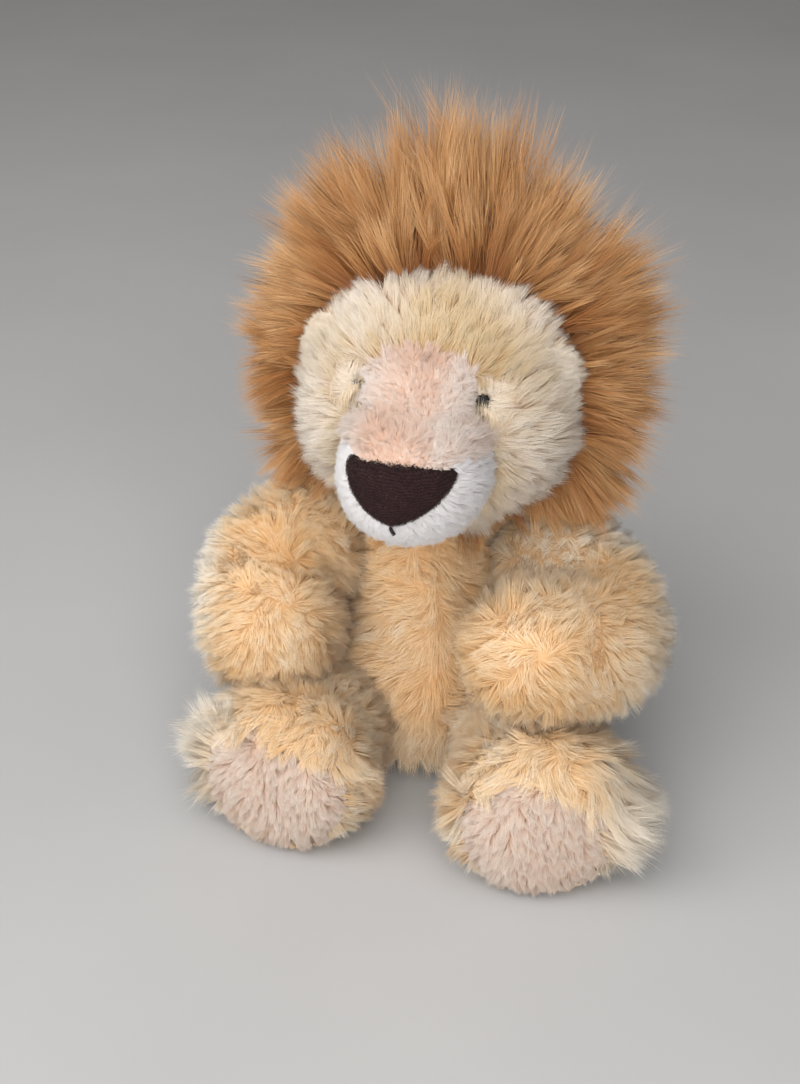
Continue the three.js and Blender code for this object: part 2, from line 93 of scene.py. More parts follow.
RIGHT_ARM = dict(line=[[-41, -4, 77], [-50, -15, 72], [-52, -27, 66], [-48, -36, 60]], radii=(16, 17, 17.5))
LEFT_LEG = dict(line=[[25, -23, 23.4], [40, -48, 23.4], [45.5, -75, 23.4]], radii=(17, 19, 25))
RIGHT_LEG = dict(line=[[-25, -23, 23.4], [-33, -44, 23.4], [-39, -64, 23.4]], radii=(17, 19, 24.5))
SOLE_AHEAD = 13.0
HIP_TAPER = 0.3
TAIL_LINE, TAIL_RADIUS = [[0, 34, 14], [6, 46, 9], [22, 53, 7.5], [38, 50, 8.5]], 5.2
TUFT_AT, TUFT = np.array([49.0, 44.0, 9.6]), np.array([10.5, 8.5, 8.8])
FLOOR_CLEAR = 0.35


# ------------------------------------------------------------------------------------ small maths
def unit(v):
    return v / np.maximum(np.linalg.norm(v, axis=-1, keepdims=True), 1e-9)


def step(a, b, x):
    t = np.clip((x - a) / (b - a), 0, 1)
    return t * t * (3 - 2 * t)


def lerp(a, b, t):
    return a + (b - a) * t


def turn_about(v, axis, angle):
    c, s = np.cos(angle)[:, None], np.sin(angle)[:, None]
    return v * c + np.cross(axis, v) * s + axis * (np.sum(axis * v, 1) * (1 - np.cos(angle)))[:, None]


class Waves:
    """A smooth field over space with about unit spread, made of a few fixed sine waves."""

    def __init__(self, seed, size, count=7):
        r = np.random.default_rng(seed)
        self.k = unit(r.normal(size=(count, 3))) * (2 * np.pi / size) * r.uniform(0.55, 1.5, (count, 1))
        self.phase = r.uniform(0, 2 * np.pi, count)

    def __call__(self, p):
        return np.sin(p @ self.k.T + self.phase).sum(1) * math.sqrt(2 / len(self.phase))


def nearest(p, q):
    """For each point of p, the index of the nearest of q."""
    out = np.empty(len(p), np.int64)
    qq = (q * q).sum(1)
    for i in range(0, len(p), 2048):
        a = p[i : i + 2048]
        out[i : i + 2048] = np.argmin(qq[None, :] - 2 * a @ q.T, axis=1)
    return out


def head_turn_matrix():
    a, b = math.radians(HEAD_TURN), math.radians(HEAD_LEAN)
    rz = np.array([[math.cos(a), -math.sin(a), 0], [math.sin(a), math.cos(a), 0], [0, 0, 1]])
    ry = np.array([[math.cos(b), 0, math.sin(b)], [0, 1, 0], [-math.sin(b), 0, math.cos(b)]])
    return ry @ rz


HEAD_R = head_turn_matrix()


def from_head(p):
    return p @ HEAD_R.T + HEAD_CENTRE


def turn_from_head(v):
    return v @ HEAD_R.T


# ------------------------------------------------------------------------------------ base surfaces
class Surface:
    """A triangle mesh with smooth normals and any number of values at its vertices."""

    def __init__(self, v, quads, inside, **values):
        self.v = np.asarray(v, float)
        self.quads = np.asarray(quads)
        f = np.concatenate([self.quads[:, [0, 1, 2]], self.quads[:, [0, 2, 3]]])
        a, b, c = self.v[f[:, 0]], self.v[f[:, 1]], self.v[f[:, 2]]
        n = np.cross(b - a, c - a)
        if np.sum(np.sum(n * ((a + b + c) / 3 - inside), 1)) < 0:
            f, self.quads, n = f[:, ::-1], self.quads[:, ::-1], -n
        self.f = f
        self.area = np.linalg.norm(n, axis=1) / 2
        vn = np.zeros_like(self.v)
        for k in range(3):
            np.add.at(vn, f[:, k], n)
        self.n = unit(vn)
        self.values = {k: np.asarray(x, float) for k, x in values.items()}

    def at_faces(self, x, faces):
        return x[faces].mean(1)

    def sample(self, count, weight, rng):
        """count points spread evenly over the triangles, by weight at their centres."""
        centre = self.v[self.f].mean(1)
        vals = {k: x[self.f].mean(1) for k, x in self.values.items()}
        w = self.area * np.asarray(weight(centre, vals), float)
        cum = np.cumsum(w)
        if cum[-1] <= 0:
            raise ValueError("nothing to sample")
        pick = np.searchsorted(cum, (np.arange(count) + rng.random(count)) / count * cum[-1])
        tri = self.f[np.minimum(pick, len(self.f) - 1)]
        r1, r2 = np.sqrt(rng.random(count)), rng.random(count)
        bary = np.stack([1 - r1, r1 * (1 - r2), r1 * r2], 1)
        mix = lambda x: np.einsum("ij,ij...->i...", bary, x[tri])
        return mix(self.v), unit(mix(self.n)), {k: mix(x) for k, x in self.values.items()}


def grid_quads(rows, cols, wrap):
    i, j = np.meshgrid(np.arange(rows - 1), np.arange(cols if wrap else cols - 1), indexing="ij")
    k = (j + 1) % cols
    return np.stack([i * cols + j, i * cols + k, (i + 1) * cols + k, (i + 1) * cols + j], -1).reshape(-1, 4)


def smooth_line(points, count=400):
    """A centripetal spline through the points, at equal steps of its length: places and tangents."""
    p = np.asarray(points, float)
    p = np.concatenate([[2 * p[0] - p[1]], p, [2 * p[-1] - p[-2]]])
    dense = []
    for i in range(1, len(p) - 2):
        x0, x1, x2, x3 = p[i - 1 : i + 3]
        d0, d1, d2 = (np.linalg.norm(b - a) ** 0.5 for a, b in ((x0, x1), (x1, x2), (x2, x3)))
        t1 = ((x1 - x0) / d0 - (x2 - x0) / (d0 + d1) + (x2 - x1) / d1) * d1
        t2 = ((x2 - x1) / d1 - (x3 - x1) / (d1 + d2) + (x3 - x2) / d2) * d1
        t = np.linspace(0, 1, 120, endpoint=i == len(p) - 3)[:, None]
        dense.append(
            (2 * t**3 - 3 * t**2 + 1) * x1 + (t**3 - 2 * t**2 + t) * t1 + (-2 * t**3 + 3 * t**2) * x2 + (t**3 - t**2) * t2
        )
    q = np.concatenate(dense)
    s = np.concatenate([[0], np.cumsum(np.linalg.norm(np.diff(q, axis=0), axis=1))])
    at = np.linspace(0, s[-1], count)
    c = np.stack([np.interp(at, s, q[:, k]) for k in range(3)], 1)
    return c, unit(np.gradient(c, axis=0)), s[-1]


def limb_surface(line, radius_at, sides=56, shaft=44, cap=11, lumps=None):
    c, tang, length = smooth_line(line)
    up = np.array([0, 0, 1.0])
    r0, r1 = radius_at(0.0), radius_at(1.0)
    rows = [(-r0 * math.cos(a), r0 * math.sin(a)) for a in np.linspace(0.02, np.pi / 2, cap)]
    rows += [(length * k, radius_at(k)) for k in np.linspace(0, 1, shaft)[1:-1]]
    rows += [(length + r1 * math.sin(a), r1 * math.cos(a)) for a in np.linspace(0, np.pi / 2 - 0.02, cap)]
    ang = np.linspace(0, 2 * np.pi, sides, endpoint=False)
    v, ts, tg = [], [], []
    for s, r in rows:
        k = min(max(s / length, 0), 1)
        i = int(round(k * (len(c) - 1)))
        t = tang[i]
        side = unit(np.cross(t, up))
        top = np.cross(side, t)
        q = c[i] + t * (s - k * length)
        v.append(q + r * (np.cos(ang)[:, None] * side + np.sin(ang)[:, None] * top))
        ts.append(np.full(sides, s / length))
        tg.append(np.repeat(t[None], sides, 0))
    v = np.concatenate(v)
    return Surface(v, grid_quads(len(rows), sides, True), c.mean(0), t=np.concatenate(ts), tangent=np.concatenate(tg))


def limb_radius(radii):
    a, b, c = radii
    return lambda t: lerp(a, b, step(0, 0.5, t)) if t < 0.5 else lerp(b, c, step(0.5, 1, t))


def in_limb(line, radius_at, grow=0.0, count=60):
    """A test for points inside a limb's core."""
    c, _, _ = smooth_line(line, count)
    r = np.array([radius_at(k) for k in np.linspace(0, 1, count)]) + grow

    def inside(p):
        d = np.linalg.norm(p[:, None] - c[None], axis=2)
        return (d < r[None]).any(1)

    return inside


def torso_radius(z):
    zs, rs = np.array(TORSO_PROFILE, float).T
    # monotone cubic through the profile
    h, d = np.diff(zs), np.diff(rs) / np.diff(zs)
    m = np.concatenate([[d[0]], np.where(d[:-1] * d[1:] > 0, 2 * d[:-1] * d[1:] / (d[:-1] + d[1:] + 1e-12), 0), [d[-1]]])
    i = np.clip(np.searchsorted(zs, z) - 1, 0, len(h) - 1)
    t = np.clip((z - zs[i]) / h[i], 0, 1)
    return (
        (2 * t**3 - 3 * t**2 + 1) * rs[i] + (t**3 - 2 * t**2 + t) * h[i] * m[i] + (-2 * t**3 + 3 * t**2) * rs[i + 1] + (t**3 - t**2) * h[i] * m[i + 1]
    )


def torso_surface(sides=96):
    z = np.concatenate([np.linspace(0, 4, 5), np.linspace(5, 80, 46), 92.5 - 12.5 * np.linspace(1, 0.02, 14)[1:] ** 1.6])
    r = torso_radius(z)
    rows = [(0.0, 1.0)] + [(0.0, k) for k in (7, 13, 17.5)] + list(zip(z, r))
    ang = np.linspace(0, 2 * np.pi, sides, endpoint=False)
    v = np.concatenate([
        np.stack([np.maximum(rr, 0.3) * np.cos(ang), TORSO_AXIS_Y + TORSO_DEPTH * np.maximum(rr, 0.3) * np.sin(ang), np.full(sides, zz)], 1)
        for zz, rr in rows
    ])
    v[:, 2] = np.maximum(v[:, 2], FLOOR_CLEAR)
    return Surface(v, grid_quads(len(rows), sides, True), np.array([0, TORSO_AXIS_Y, 45.0]))


def in_torso(p, grow=0.0):
    r = np.hypot(p[:, 0], (p[:, 1] - TORSO_AXIS_Y) / TORSO_DEPTH)
    return (r < torso_radius(np.clip(p[:, 2], 0, 92.5)) + grow) & (p[:, 2] < 92.5 + grow)


def torso_gap(p):
    """About how far points lie outside the torso's side."""
    return np.hypot(p[:, 0], (p[:, 1] - TORSO_AXIS_Y) / TORSO_DEPTH) - torso_radius(np.clip(p[:, 2], 0, 92.5))


def exit_distance(origin, w, centre, radii):
    o = (origin - centre) / radii
    d = w / radii
    b = d @ o
    a = (d * d).sum(1)
    return (-b + np.sqrt(np.maximum(b * b - a * (o @ o - 1), 0))) / a


HEAD_INNER = np.array([0, -15.0, -2.0])
HEAD_BULGES = (((15.0, -33.0, 26.0), 9.0, 3.4), ((31.0, -22.0, -4.0), 13.0, 2.4), ((25.0, -6.0, 29.0), 12.0, 2.2))  # brow, cheek, upper corner: place, size, height


def head_surface(rows=150, cols=200):
    """Skull, muzzle and brow slope as one softly blended surface, in the head's own frame."""
    th = np.linspace(0.004, np.pi - 0.004, rows)
    ph = np.linspace(0, 2 * np.pi, cols, endpoint=False)
    t, f = np.meshgrid(th, ph, indexing="ij")
    w = np.stack([np.sin(t) * np.cos(f), -np.cos(t), np.sin(t) * np.sin(f)], -1).reshape(-1, 3)
    rs = exit_distance(HEAD_INNER, w, np.zeros(3), SKULL)
    rm = exit_distance(HEAD_INNER, w, MUZZLE_CENTRE, MUZZLE)
    rb = exit_distance(HEAD_INNER, w, BRIDGE_CENTRE, BRIDGE)
    k = 2.2
    top = np.maximum(np.maximum(rs, rm), rb)
    r = top + k * np.log(np.exp((rs - top) / k) + np.exp((rm - top) / k) + np.exp((rb - top) / k)) - 0.25 * k
    v = HEAD_INNER + w * r[:, None]
    snout = np.maximum(rm, rb) - rs
    full = -(1.8 + 1.2 * step(0, 8, v[:, 0])) * np.exp(-((snout / 2.8) ** 2)) * step(-8, -20, v[:, 1]) * step(20, 10, v[:, 2])
    for side in (1, -1):
        for at, size, amount in HEAD_BULGES + (((27.0, -5.0, 29.0), 12.0, 1.3 + 1.3 * side),):
            d = v - np.array(at) * np.array([side, 1, 1])
            full += amount * np.exp(-(d * d).sum(1) / size**2)
    v = v + w * full[:, None]
    return Surface(v, grid_quads(rows, cols, True), HEAD_INNER, snout=snout)


def ellipsoid_surface(centre, radii, rows=40, cols=56, turn=0.0):
    th = np.linspace(0.02, np.pi - 0.02, rows)
    ph = np.linspace(0, 2 * np.pi, cols, endpoint=False)
    t, f = np.meshgrid(th, ph, indexing="ij")
    w = np.stack([np.sin(t) * np.cos(f), -np.cos(t), np.sin(t) * np.sin(f)], -1).reshape(-1, 3) * radii
    a = math.radians(turn)
    w = w @ np.array([[math.cos(a), -math.sin(a), 0], [math.sin(a), math.cos(a), 0], [0, 0, 1]]).T
    return Surface(w + centre, grid_quads(rows, cols, True), np.asarray(centre, float))


# ------------------------------------------------------------------------------------ strands
def paths(p, n, comb, length, lift0, lift1, ts):
    """Points along each strand, from its root out: it leaves at lift0 above the cloth and ends at lift1."""
    d0 = n * np.sin(lift0)[:, None] + comb * np.cos(lift0)[:, None]
    d1 = n * np.sin(lift1)[:, None] + comb * np.cos(lift1)[:, None]
    t = ts[None, :, None]
    return p[:, None] + length[:, None, None] * (t * d0[:, None] + t * t / 2 * (d1 - d0)[:, None])


def strands(p, n, comb, length, rng, *, lift=(60, 25), per_tuft=12, clump=0.6, swirl=0.45, fray=0.16, segs=2,
            stray=0.08, droop=0.0, frizz=0.06, tip_spread=0.15, tone=None, tone_clump=0.1, tone_strand=0.09, lift_spread=12.0):
    """Pile that stands in tapered tufts. Returns the strands' points (count, segs + 1, 3) and their tones."""
    count = len(p)
    comb = unit(comb - n * np.sum(comb * n, 1, keepdims=True))
    guides = rng.permutation(count)[: max(6, round(count / per_tuft))]
    own = nearest(p, p[guides])
    g = guides[own]
    ts = np.linspace(0, 1, segs + 1) ** 0.92
    g_turn = rng.normal(0, swirl, len(guides))
    g_len = rng.uniform(0.8, 1.15, len(guides))
    g_lift = rng.normal(0, math.radians(lift_spread), len(guides))
    l0, l1 = (np.radians(np.broadcast_to(np.asarray(k, float), (count,))) for k in lift)
    my_turn = g_turn[own] + rng.normal(0, fray, count)
    my_len = length * g_len[own] * rng.uniform(0.8, 1.1, count)
    my_lift = g_lift[own] + rng.normal(0, math.radians(6), count)
    x = paths(p, n, turn_about(comb, n, my_turn), my_len, l0 + my_lift * 0.5, l1 + my_lift, ts)
    gx = paths(p[g], n[g], turn_about(comb[g], n[g], g_turn[own]), my_len, l0[g] + g_lift[own] * 0.5, l1[g] + g_lift[own], ts)
    pull = clump * rng.uniform(0.6, 1.1, count)
    pull[rng.random(count) < stray] = 0.05
    k = np.clip(pull, 0, 1)[:, None] * ts[None] ** 1.25
    goal = gx + (p - p[g])[:, None] * (1 - (1 - tip_spread) * ts[None, :, None])
    x = x + k[..., None] * (goal - x)
    x = x + rng.normal(0, 1, (count, 1, 3)) * (frizz * my_len)[:, None, None] * (ts**2)[None, :, None]
    x[..., 2] -= (droop * my_len)[:, None] * (ts**2)[None]
    base = np.full(count, 0.4) if tone is None else tone
    tones = base + rng.normal(0, tone_clump, len(guides))[own] + rng.normal(0, tone_strand, count)
    return x, np.clip(tones, 0.012, 0.988)


def ribbon_mesh(x, n, width, tones, rng, roll=0.9, root_w=0.75, belly=1.0, soft=0.82):
    """Thin tapered ribbons along the strands, facing out: vertices, triangles, corner UVs (tone across, root to tip up)
    and vertex normals, which lie between the ribbon's own and the cloth's so that a tuft shades softly."""
    count, s = x.shape[0], x.shape[1] - 1
    ts = np.linspace(0, 1, s + 1)
    tang = unit(np.gradient(x, axis=1))
    a = rng.uniform(-roll, roll, count)
    out = unit(n)[:, None] + np.zeros_like(x)
    flat = np.abs(np.sum(out * tang, -1, keepdims=True)) > 0.985
    out = np.where(flat, out + 0.3 * rng.normal(size=(count, 1, 3)), out)
    side = unit(np.cross(tang, out))
    face = np.cross(side, tang)
    ca, sa = np.cos(a)[:, None, None], np.sin(a)[:, None, None]
    side, face = unit(side * ca + face * sa), unit(face * ca - side * sa)
    w = np.where(ts < 0.35, root_w + (belly - root_w) * ts / 0.35, belly * (1 - np.clip((ts - 0.35) / 0.65, 0, 1) ** 1.6 * 0.82))
    half = 0.5 * (width[:, None] * w[None])[..., None] * side
    left, right = x - half, x + half
    v = np.empty((count, 2 * s + 1, 3))
    v[:, 0 : 2 * s : 2], v[:, 1 : 2 * s : 2], v[:, 2 * s] = left[:, :s], right[:, :s], x[:, s]
    shade = unit(face + soft / (1 - soft) * out)
    vn = np.empty_like(v)
    vn[:, 0 : 2 * s : 2], vn[:, 1 : 2 * s : 2], vn[:, 2 * s] = shade[:, :s], shade[:, :s], shade[:, s]
    local, uv_l = [], []
    tv = 0.04 + 0.94 * ts
    for i in range(s - 1):
        local += [(2 * i, 2 * i + 1, 2 * i + 3), (2 * i, 2 * i + 3, 2 * i + 2)]
        uv_l += [((-1, tv[i]), (1, tv[i]), (1, tv[i + 1])), ((-1, tv[i]), (1, tv[i + 1]), (-1, tv[i + 1]))]
    local.append((2 * s - 2, 2 * s - 1, 2 * s))
    uv_l.append(((-1, tv[s - 1]), (1, tv[s - 1]), (0, tv[s])))
    local, uv_l = np.array(local), np.array(uv_l)
    f = (local[None] + (np.arange(count) * (2 * s + 1))[:, None, None]).reshape(-1, 3)
    uv = np.empty((count,) + uv_l.shape)
    uv[..., 0] = tones[:, None, None] + 0.004 * uv_l[None, ..., 0]
    uv[..., 1] = uv_l[None, ..., 1]
    return v.reshape(-1, 3), f, uv.reshape(-1, 3, 2), vn.reshape(-1, 3)


def spike_mesh(x, n, width, tones, rng, soft=0.7):
    """Short pile as fine three-sided spikes from root to tip, shaded mostly like the cloth they stand on."""
    count = len(x)
    root, tip = x[:, 0], x[:, -1]
    axis = unit(tip - root)
    u = unit(np.cross(axis, rng.normal(size=(count, 3))))
    w = np.cross(axis, u)
    v, vn = np.empty((count, 4, 3)), np.empty((count, 4, 3))
    for k in range(3):
        a = 2 * np.pi * k / 3
        out = math.cos(a) * u + math.sin(a) * w
        v[:, k] = root + 0.62 * width[:, None] * out
        vn[:, k] = unit((1 - soft) * out + soft * n)
    v[:, 3], vn[:, 3] = tip, unit(n)
    local = np.array([(0, 1, 3), (1, 2, 3), (2, 0, 3)])
    f = (local[None] + (np.arange(count) * 4)[:, None, None]).reshape(-1, 3)
    uv = np.empty((count, 3, 3, 2))
    uv[..., 0] = tones[:, None, None] + np.array([-0.004, 0.004, 0.0])
    uv[..., 1] = np.array([0.04, 0.04, 0.98])
    return v.reshape(-1, 3), f, uv.reshape(-1, 3, 2), vn.reshape(-1, 3)


def skin_mesh(surface, keep, inset=0.5, tone=0.6):
    """The backing cloth under the pile: the kept faces of a base surface, a little way in."""
    centre = surface.v[surface.quads].mean(1)
    vals = {k: x[surface.quads].mean(1) for k, x in surface.values.items()}
    q = surface.quads[keep(centre, vals)]
    used, back = np.unique(q, return_inverse=True)
    q = back.reshape(-1, 4)
    v = surface.v[used] - np.broadcast_to(inset, len(surface.v))[used][:, None] * surface.n[used]
    v[:, 2] = np.maximum(v[:, 2], 0.2)
    f = np.concatenate([q[:, [0, 1, 2]], q[:, [0, 2, 3]]])
    cell = np.array([[tone - 0.004, 0.012], [tone + 0.004, 0.012], [tone + 0.004, 0.024], [tone - 0.004, 0.024]])
    uv = np.concatenate([np.repeat(cell[None, [0, 1, 2]], len(q), 0), np.repeat(cell[None, [0, 2, 3]], len(q), 0)])
    return v, f, uv, surface.n[used]


def join(*meshes):
    v, f, uv, vn, at = [], [], [], [], 0
    for a, b, c, d in meshes:
        v.append(a), f.append(b + at), uv.append(c), vn.append(d)
        at += len(a)
    return np.concatenate(v), np.concatenate(f), np.concatenate(uv), np.concatenate(vn)


def make(name, mesh, material, smooth=True):
    v, f, uv, vn = mesh
    me = bpy.data.meshes.new(name)
    me.vertices.add(len(v))
    me.vertices.foreach_set("co", (v * MM).astype(np.float32).ravel())
    me.loops.add(f.size)
    me.loops.foreach_set("vertex_index", f.astype(np.int32).ravel())
    me.polygons.add(len(f))
    me.polygons.foreach_set("loop_start", np.arange(0, f.size, f.shape[1], dtype=np.int32))
    me.update(calc_edges=True)
    if uv is not None:
        layer = me.uv_layers.new(name="OFBake")
        layer.data.foreach_set("uv", uv.astype(np.float32).ravel())
    me.polygons.foreach_set("use_smooth", np.full(len(f), smooth))
    if vn is not None:
        me.normals_split_custom_set_from_vertices(vn.astype(np.float32))
    me.materials.append(material)
    ob = bpy.data.objects.new(name, me)
    bpy.context.scene.collection.objects.link(ob)
    return ob


def put(ob, body, nodes):
    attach(ob, body)
    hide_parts(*nodes)
    return ob


BOX_LOW, BOX_HIGH = (np.array(k) / MM for k in CAD_BOX)
ROOM = 0.03 * (BOX_HIGH - BOX_LOW) + 8.3  # how far pile may stand out of the sewn shape


def within_room(x):
    """Shortens strands that would stand out too far."""
    for _ in range(8):
        out = ((x < BOX_LOW - ROOM) | (x > BOX_HIGH + ROOM)).any((1, 2))
        x[out] = x[out][:, :1] + 0.84 * (x[out] - x[out][:, :1])
    return x


def above_floor(x):
    """Strands that would go under the floor bend along it."""
    z = x[..., 2]
    low = FLOOR_CLEAR + 0.5 * np.linspace(0, 1, x.shape[1])[None]
    x[..., 2] = np.maximum(z, low)
    return x


# ------------------------------------------------------------------------------------ materials
def rgb(r, g, b):
    c = np.array([r, g, b], float) / 255
    lin = np.where(c <= 0.04045, c / 12.92, ((c + 0.055) / 1.055) ** 2.4)
    return (float(lin[0]), float(lin[1]), float(lin[2]), 1.0)


def node(nt, kind, x=0, y=0, **sets):
    n = nt.nodes.new(kind)
    n.location = (x, y)
    for k, v in sets.items():
        setattr(n, k, v)
    return n


def ramp(nt, stops, x, y):
    r = node(nt, "ShaderNodeValToRGB", x, y)
    e = r.color_ramp.elements
    while len(e) < len(stops):
        e.new(0.5)
    for el, (pos, colour) in zip(e, stops):
        el.position, el.color = pos, colour
    return r


def pile_material(name, dark, pale, rough=0.82, sheen=0.18, sheen_tint=(1, 0.95, 0.88), spec=0.22, crest=None):
    """Colour of a strand from root to tip, between a deeper and a paler version by the strand's own tone."""
    m = bpy.data.materials.new(name)
    m.use_nodes = True
    nt = m.node_tree
    p = nt.nodes["Principled BSDF"]
    p.inputs["Roughness"].default_value = rough
    p.inputs["Specular IOR Level"].default_value = spec
    p.inputs["Sheen Weight"].default_value = sheen
    p.inputs["Sheen Roughness"].default_value = 0.45
    p.inputs["Sheen Tint"].default_value = (*sheen_tint, 1)
    uv = node(nt, "ShaderNodeUVMap", -900, 0, uv_map="OFBake")
    sep = node(nt, "ShaderNodeSeparateXYZ", -720, 0)
    nt.links.new(uv.outputs[0], sep.inputs[0])
    a, b = ramp(nt, dark, -520, 140), ramp(nt, pale, -520, -120)
    for r in (a, b):
        nt.links.new(sep.outputs["Y"], r.inputs[0])
    mix = node(nt, "ShaderNodeMix", -220, 40, data_type="RGBA")
    nt.links.new(sep.outputs["X"], mix.inputs[0])
    nt.links.new(a.outputs[0], mix.inputs[6])
    nt.links.new(b.outputs[0], mix.inputs[7])
    colour = mix.outputs[2]
    if crest:
        # the palest strands
        c = ramp(nt, crest, -520, -380)
        nt.links.new(sep.outputs["Y"], c.inputs[0])
        span = node(nt, "ShaderNodeMapRange", -520, 420)
        span.inputs["From Min"].default_value, span.inputs["From Max"].default_value = 0.72, 0.98
        nt.links.new(sep.outputs["X"], span.inputs["Value"])
        top = node(nt, "ShaderNodeMix", -20, 40, data_type="RGBA")
        nt.links.new(span.outputs[0], top.inputs[0])
        nt.links.new(colour, top.inputs[6])
        nt.links.new(c.outputs[0], top.inputs[7])
        colour = top.outputs[2]
    nt.links.new(colour, p.inputs["Base Color"])
    return m


def grain_material(name, dark, pale, size_mm, rough=(0.6, 0.8), bump=0.2, bump_mm=0.3, detail=4.0, spec=0.4, coat=0.0):
    """A noise-grained finish, for plastic, filling and thread."""
    m = bpy.data.materials.new(name)
    m.use_nodes = True
    nt = m.node_tree
    p = nt.nodes["Principled BSDF"]
    p.inputs["Specular IOR Level"].default_value = spec
    p.inputs["Coat Weight"].default_value = coat
    p.inputs["Coat Roughness"].default_value = 0.05
    co = node(nt, "ShaderNodeTexCoord", -1100, 0)
    noise = node(nt, "ShaderNodeTexNoise", -880, 0)
    noise.inputs["Scale"].default_value = 1000.0 / size_mm
    noise.inputs["Detail"].default_value = detail
    nt.links.new(co.outputs["Object"], noise.inputs["Vector"])
    r = ramp(nt, [(0.3, dark), (0.7, pale)], -640, 120)
    nt.links.new(noise.outputs["Fac"], r.inputs[0])
    nt.links.new(r.outputs[0], p.inputs["Base Color"])
    span = node(nt, "ShaderNodeMapRange", -640, -140)
    span.inputs["To Min"].default_value, span.inputs["To Max"].default_value = rough
    nt.links.new(noise.outputs["Fac"], span.inputs["Value"])
    nt.links.new(span.outputs[0], p.inputs["Roughness"])
    b = node(nt, "ShaderNodeBump", -400, -320)
    b.inputs["Strength"].default_value = bump
    b.inputs["Distance"].default_value = bump_mm * MM
    nt.links.new(noise.outputs["Fac"], b.inputs["Height"])
    nt.links.new(b.outputs[0], p.inputs["Normal"])
    return m


BODY = pile_material(
    "body_pile",
    [(0.0, rgb(212, 164, 112)), (0.25, rgb(222, 174, 119)), (0.6, rgb(231, 185, 130)), (1.0, rgb(240, 204, 156))],
    [(0.0, rgb(224, 192, 153)), (0.25, rgb(235, 207, 169)), (0.6, rgb(243, 222, 190)), (1.0, rgb(250, 240, 223))],
    crest=[(0.0, rgb(224, 199, 167)), (0.25, rgb(236, 216, 190)), (0.6, rgb(245, 231, 211)), (1.0, rgb(251, 245, 235))],
)
MANE_M = pile_material(
    "mane_pile",
    [(0.0, rgb(94, 51, 22)), (0.3, rgb(125, 73, 35)), (0.7, rgb(150, 96, 49)), (1.0, rgb(175, 123, 72))],
    [(0.0, rgb(117, 69, 35)), (0.3, rgb(154, 102, 55)), (0.7, rgb(191, 143, 91)), (1.0, rgb(224, 188, 143))],
    rough=0.6, spec=0.25, sheen=0.1,
)
FACE = pile_material(
    "face_pile",
    [(0.0, rgb(185, 150, 108)), (0.25, rgb(203, 172, 130)), (0.6, rgb(215, 190, 150)), (1.0, rgb(226, 205, 172))],
    [(0.0, rgb(202, 179, 156)), (0.25, rgb(222, 204, 186)), (0.6, rgb(237, 225, 211)), (1.0, rgb(245, 238, 229))],
)
BRIDGE_M = pile_material(
    "bridge_pile",
    [(0.0, rgb(208, 167, 143)), (0.3, rgb(213, 175, 153)), (0.7, rgb(218, 184, 164)), (1.0, rgb(226, 200, 184))],
    [(0.0, rgb(214, 192, 179)), (0.3, rgb(226, 208, 197)), (0.7, rgb(235, 221, 212)), (1.0, rgb(242, 232, 226))],
)
WHITE = pile_material(
    "white_pile",
    [(0.0, rgb(222, 215, 214)), (0.3, rgb(235, 230, 230)), (0.7, rgb(243, 240, 241)), (1.0, rgb(247, 245, 247))],
    [(0.0, rgb(230, 226, 227)), (0.3, rgb(241, 239, 240)), (0.7, rgb(247, 246, 248)), (1.0, rgb(249, 249, 251))],
)
SOLE = pile_material(
    "sole_pile",
    [(0.0, rgb(178, 138, 116)), (0.3, rgb(201, 167, 147)), (0.7, rgb(217, 190, 171)), (1.0, rgb(226, 205, 190))],
    [(0.0, rgb(192, 160, 141)), (0.3, rgb(216, 193, 177)), (0.7, rgb(231, 214, 200)), (1.0, rgb(240, 229, 219))],
)
NOSE = pile_material(
    "nose_fleece",
    [(0.0, rgb(18, 10, 10)), (0.5, rgb(38, 24, 25)), (1.0, rgb(60, 40, 40))],
    [(0.0, rgb(29, 19, 19)), (0.5, rgb(54, 37, 37)), (1.0, rgb(94, 70, 67))],
    rough=0.9, spec=0.12, sheen=0.08,
)
EYE = grain_material("eye_plastic", rgb(10, 7, 7), rgb(20, 14, 13), 2.0, rough=(0.25, 0.34), bump=0.02, bump_mm=0.05, spec=0.16)
THREAD = grain_material("dark_thread", rgb(16, 11, 11), rgb(36, 27, 26), 0.25, rough=(0.5, 0.75), bump=0.5, bump_mm=0.08)
SEAM = grain_material("body_thread", rgb(170, 122, 74), rgb(214, 170, 116), 0.25, rough=(0.5, 0.75), bump=0.5, bump_mm=0.08)
FILLING = grain_material("filling", rgb(222, 220, 212), rgb(248, 247, 243), 1.1, rough=(0.85, 0.98), bump=0.8, bump_mm=0.5, detail=8)
WASHER = grain_material("washer_plastic", rgb(214, 214, 210), rgb(236, 236, 233), 3.0, rough=(0.4, 0.55), bump=0.1, bump_mm=0.05)
PELLETS = grain_material("pellet_cloth", rgb(188, 180, 162), rgb(222, 214, 198), 2.4, rough=(0.75, 0.92), bump=0.8, bump_mm=0.8)

# ------------------------------------------------------------------------------------ body surfaces
LIMBS = {}
for key, spec in (("left_arm", LEFT_ARM), ("right_arm", RIGHT_ARM), ("left_leg", LEFT_LEG), ("right_leg", RIGHT_LEG)):
    r = limb_radius(spec["radii"])
    LIMBS[key] = dict(spec=spec, radius=r, surface=limb_surface(spec["line"], r), inside=in_limb(spec["line"], r, -0.5))
torso = torso_surface()
head = head_surface()
tousle_a, tousle_b, tousle_c = Waves(3, 24), Waves(4, 24), Waves(5, 24)
ruffle_a, ruffle_b, ruffle_c = Waves(6, 10), Waves(7, 10), Waves(8, 10)
paleness = Waves(11, 34)


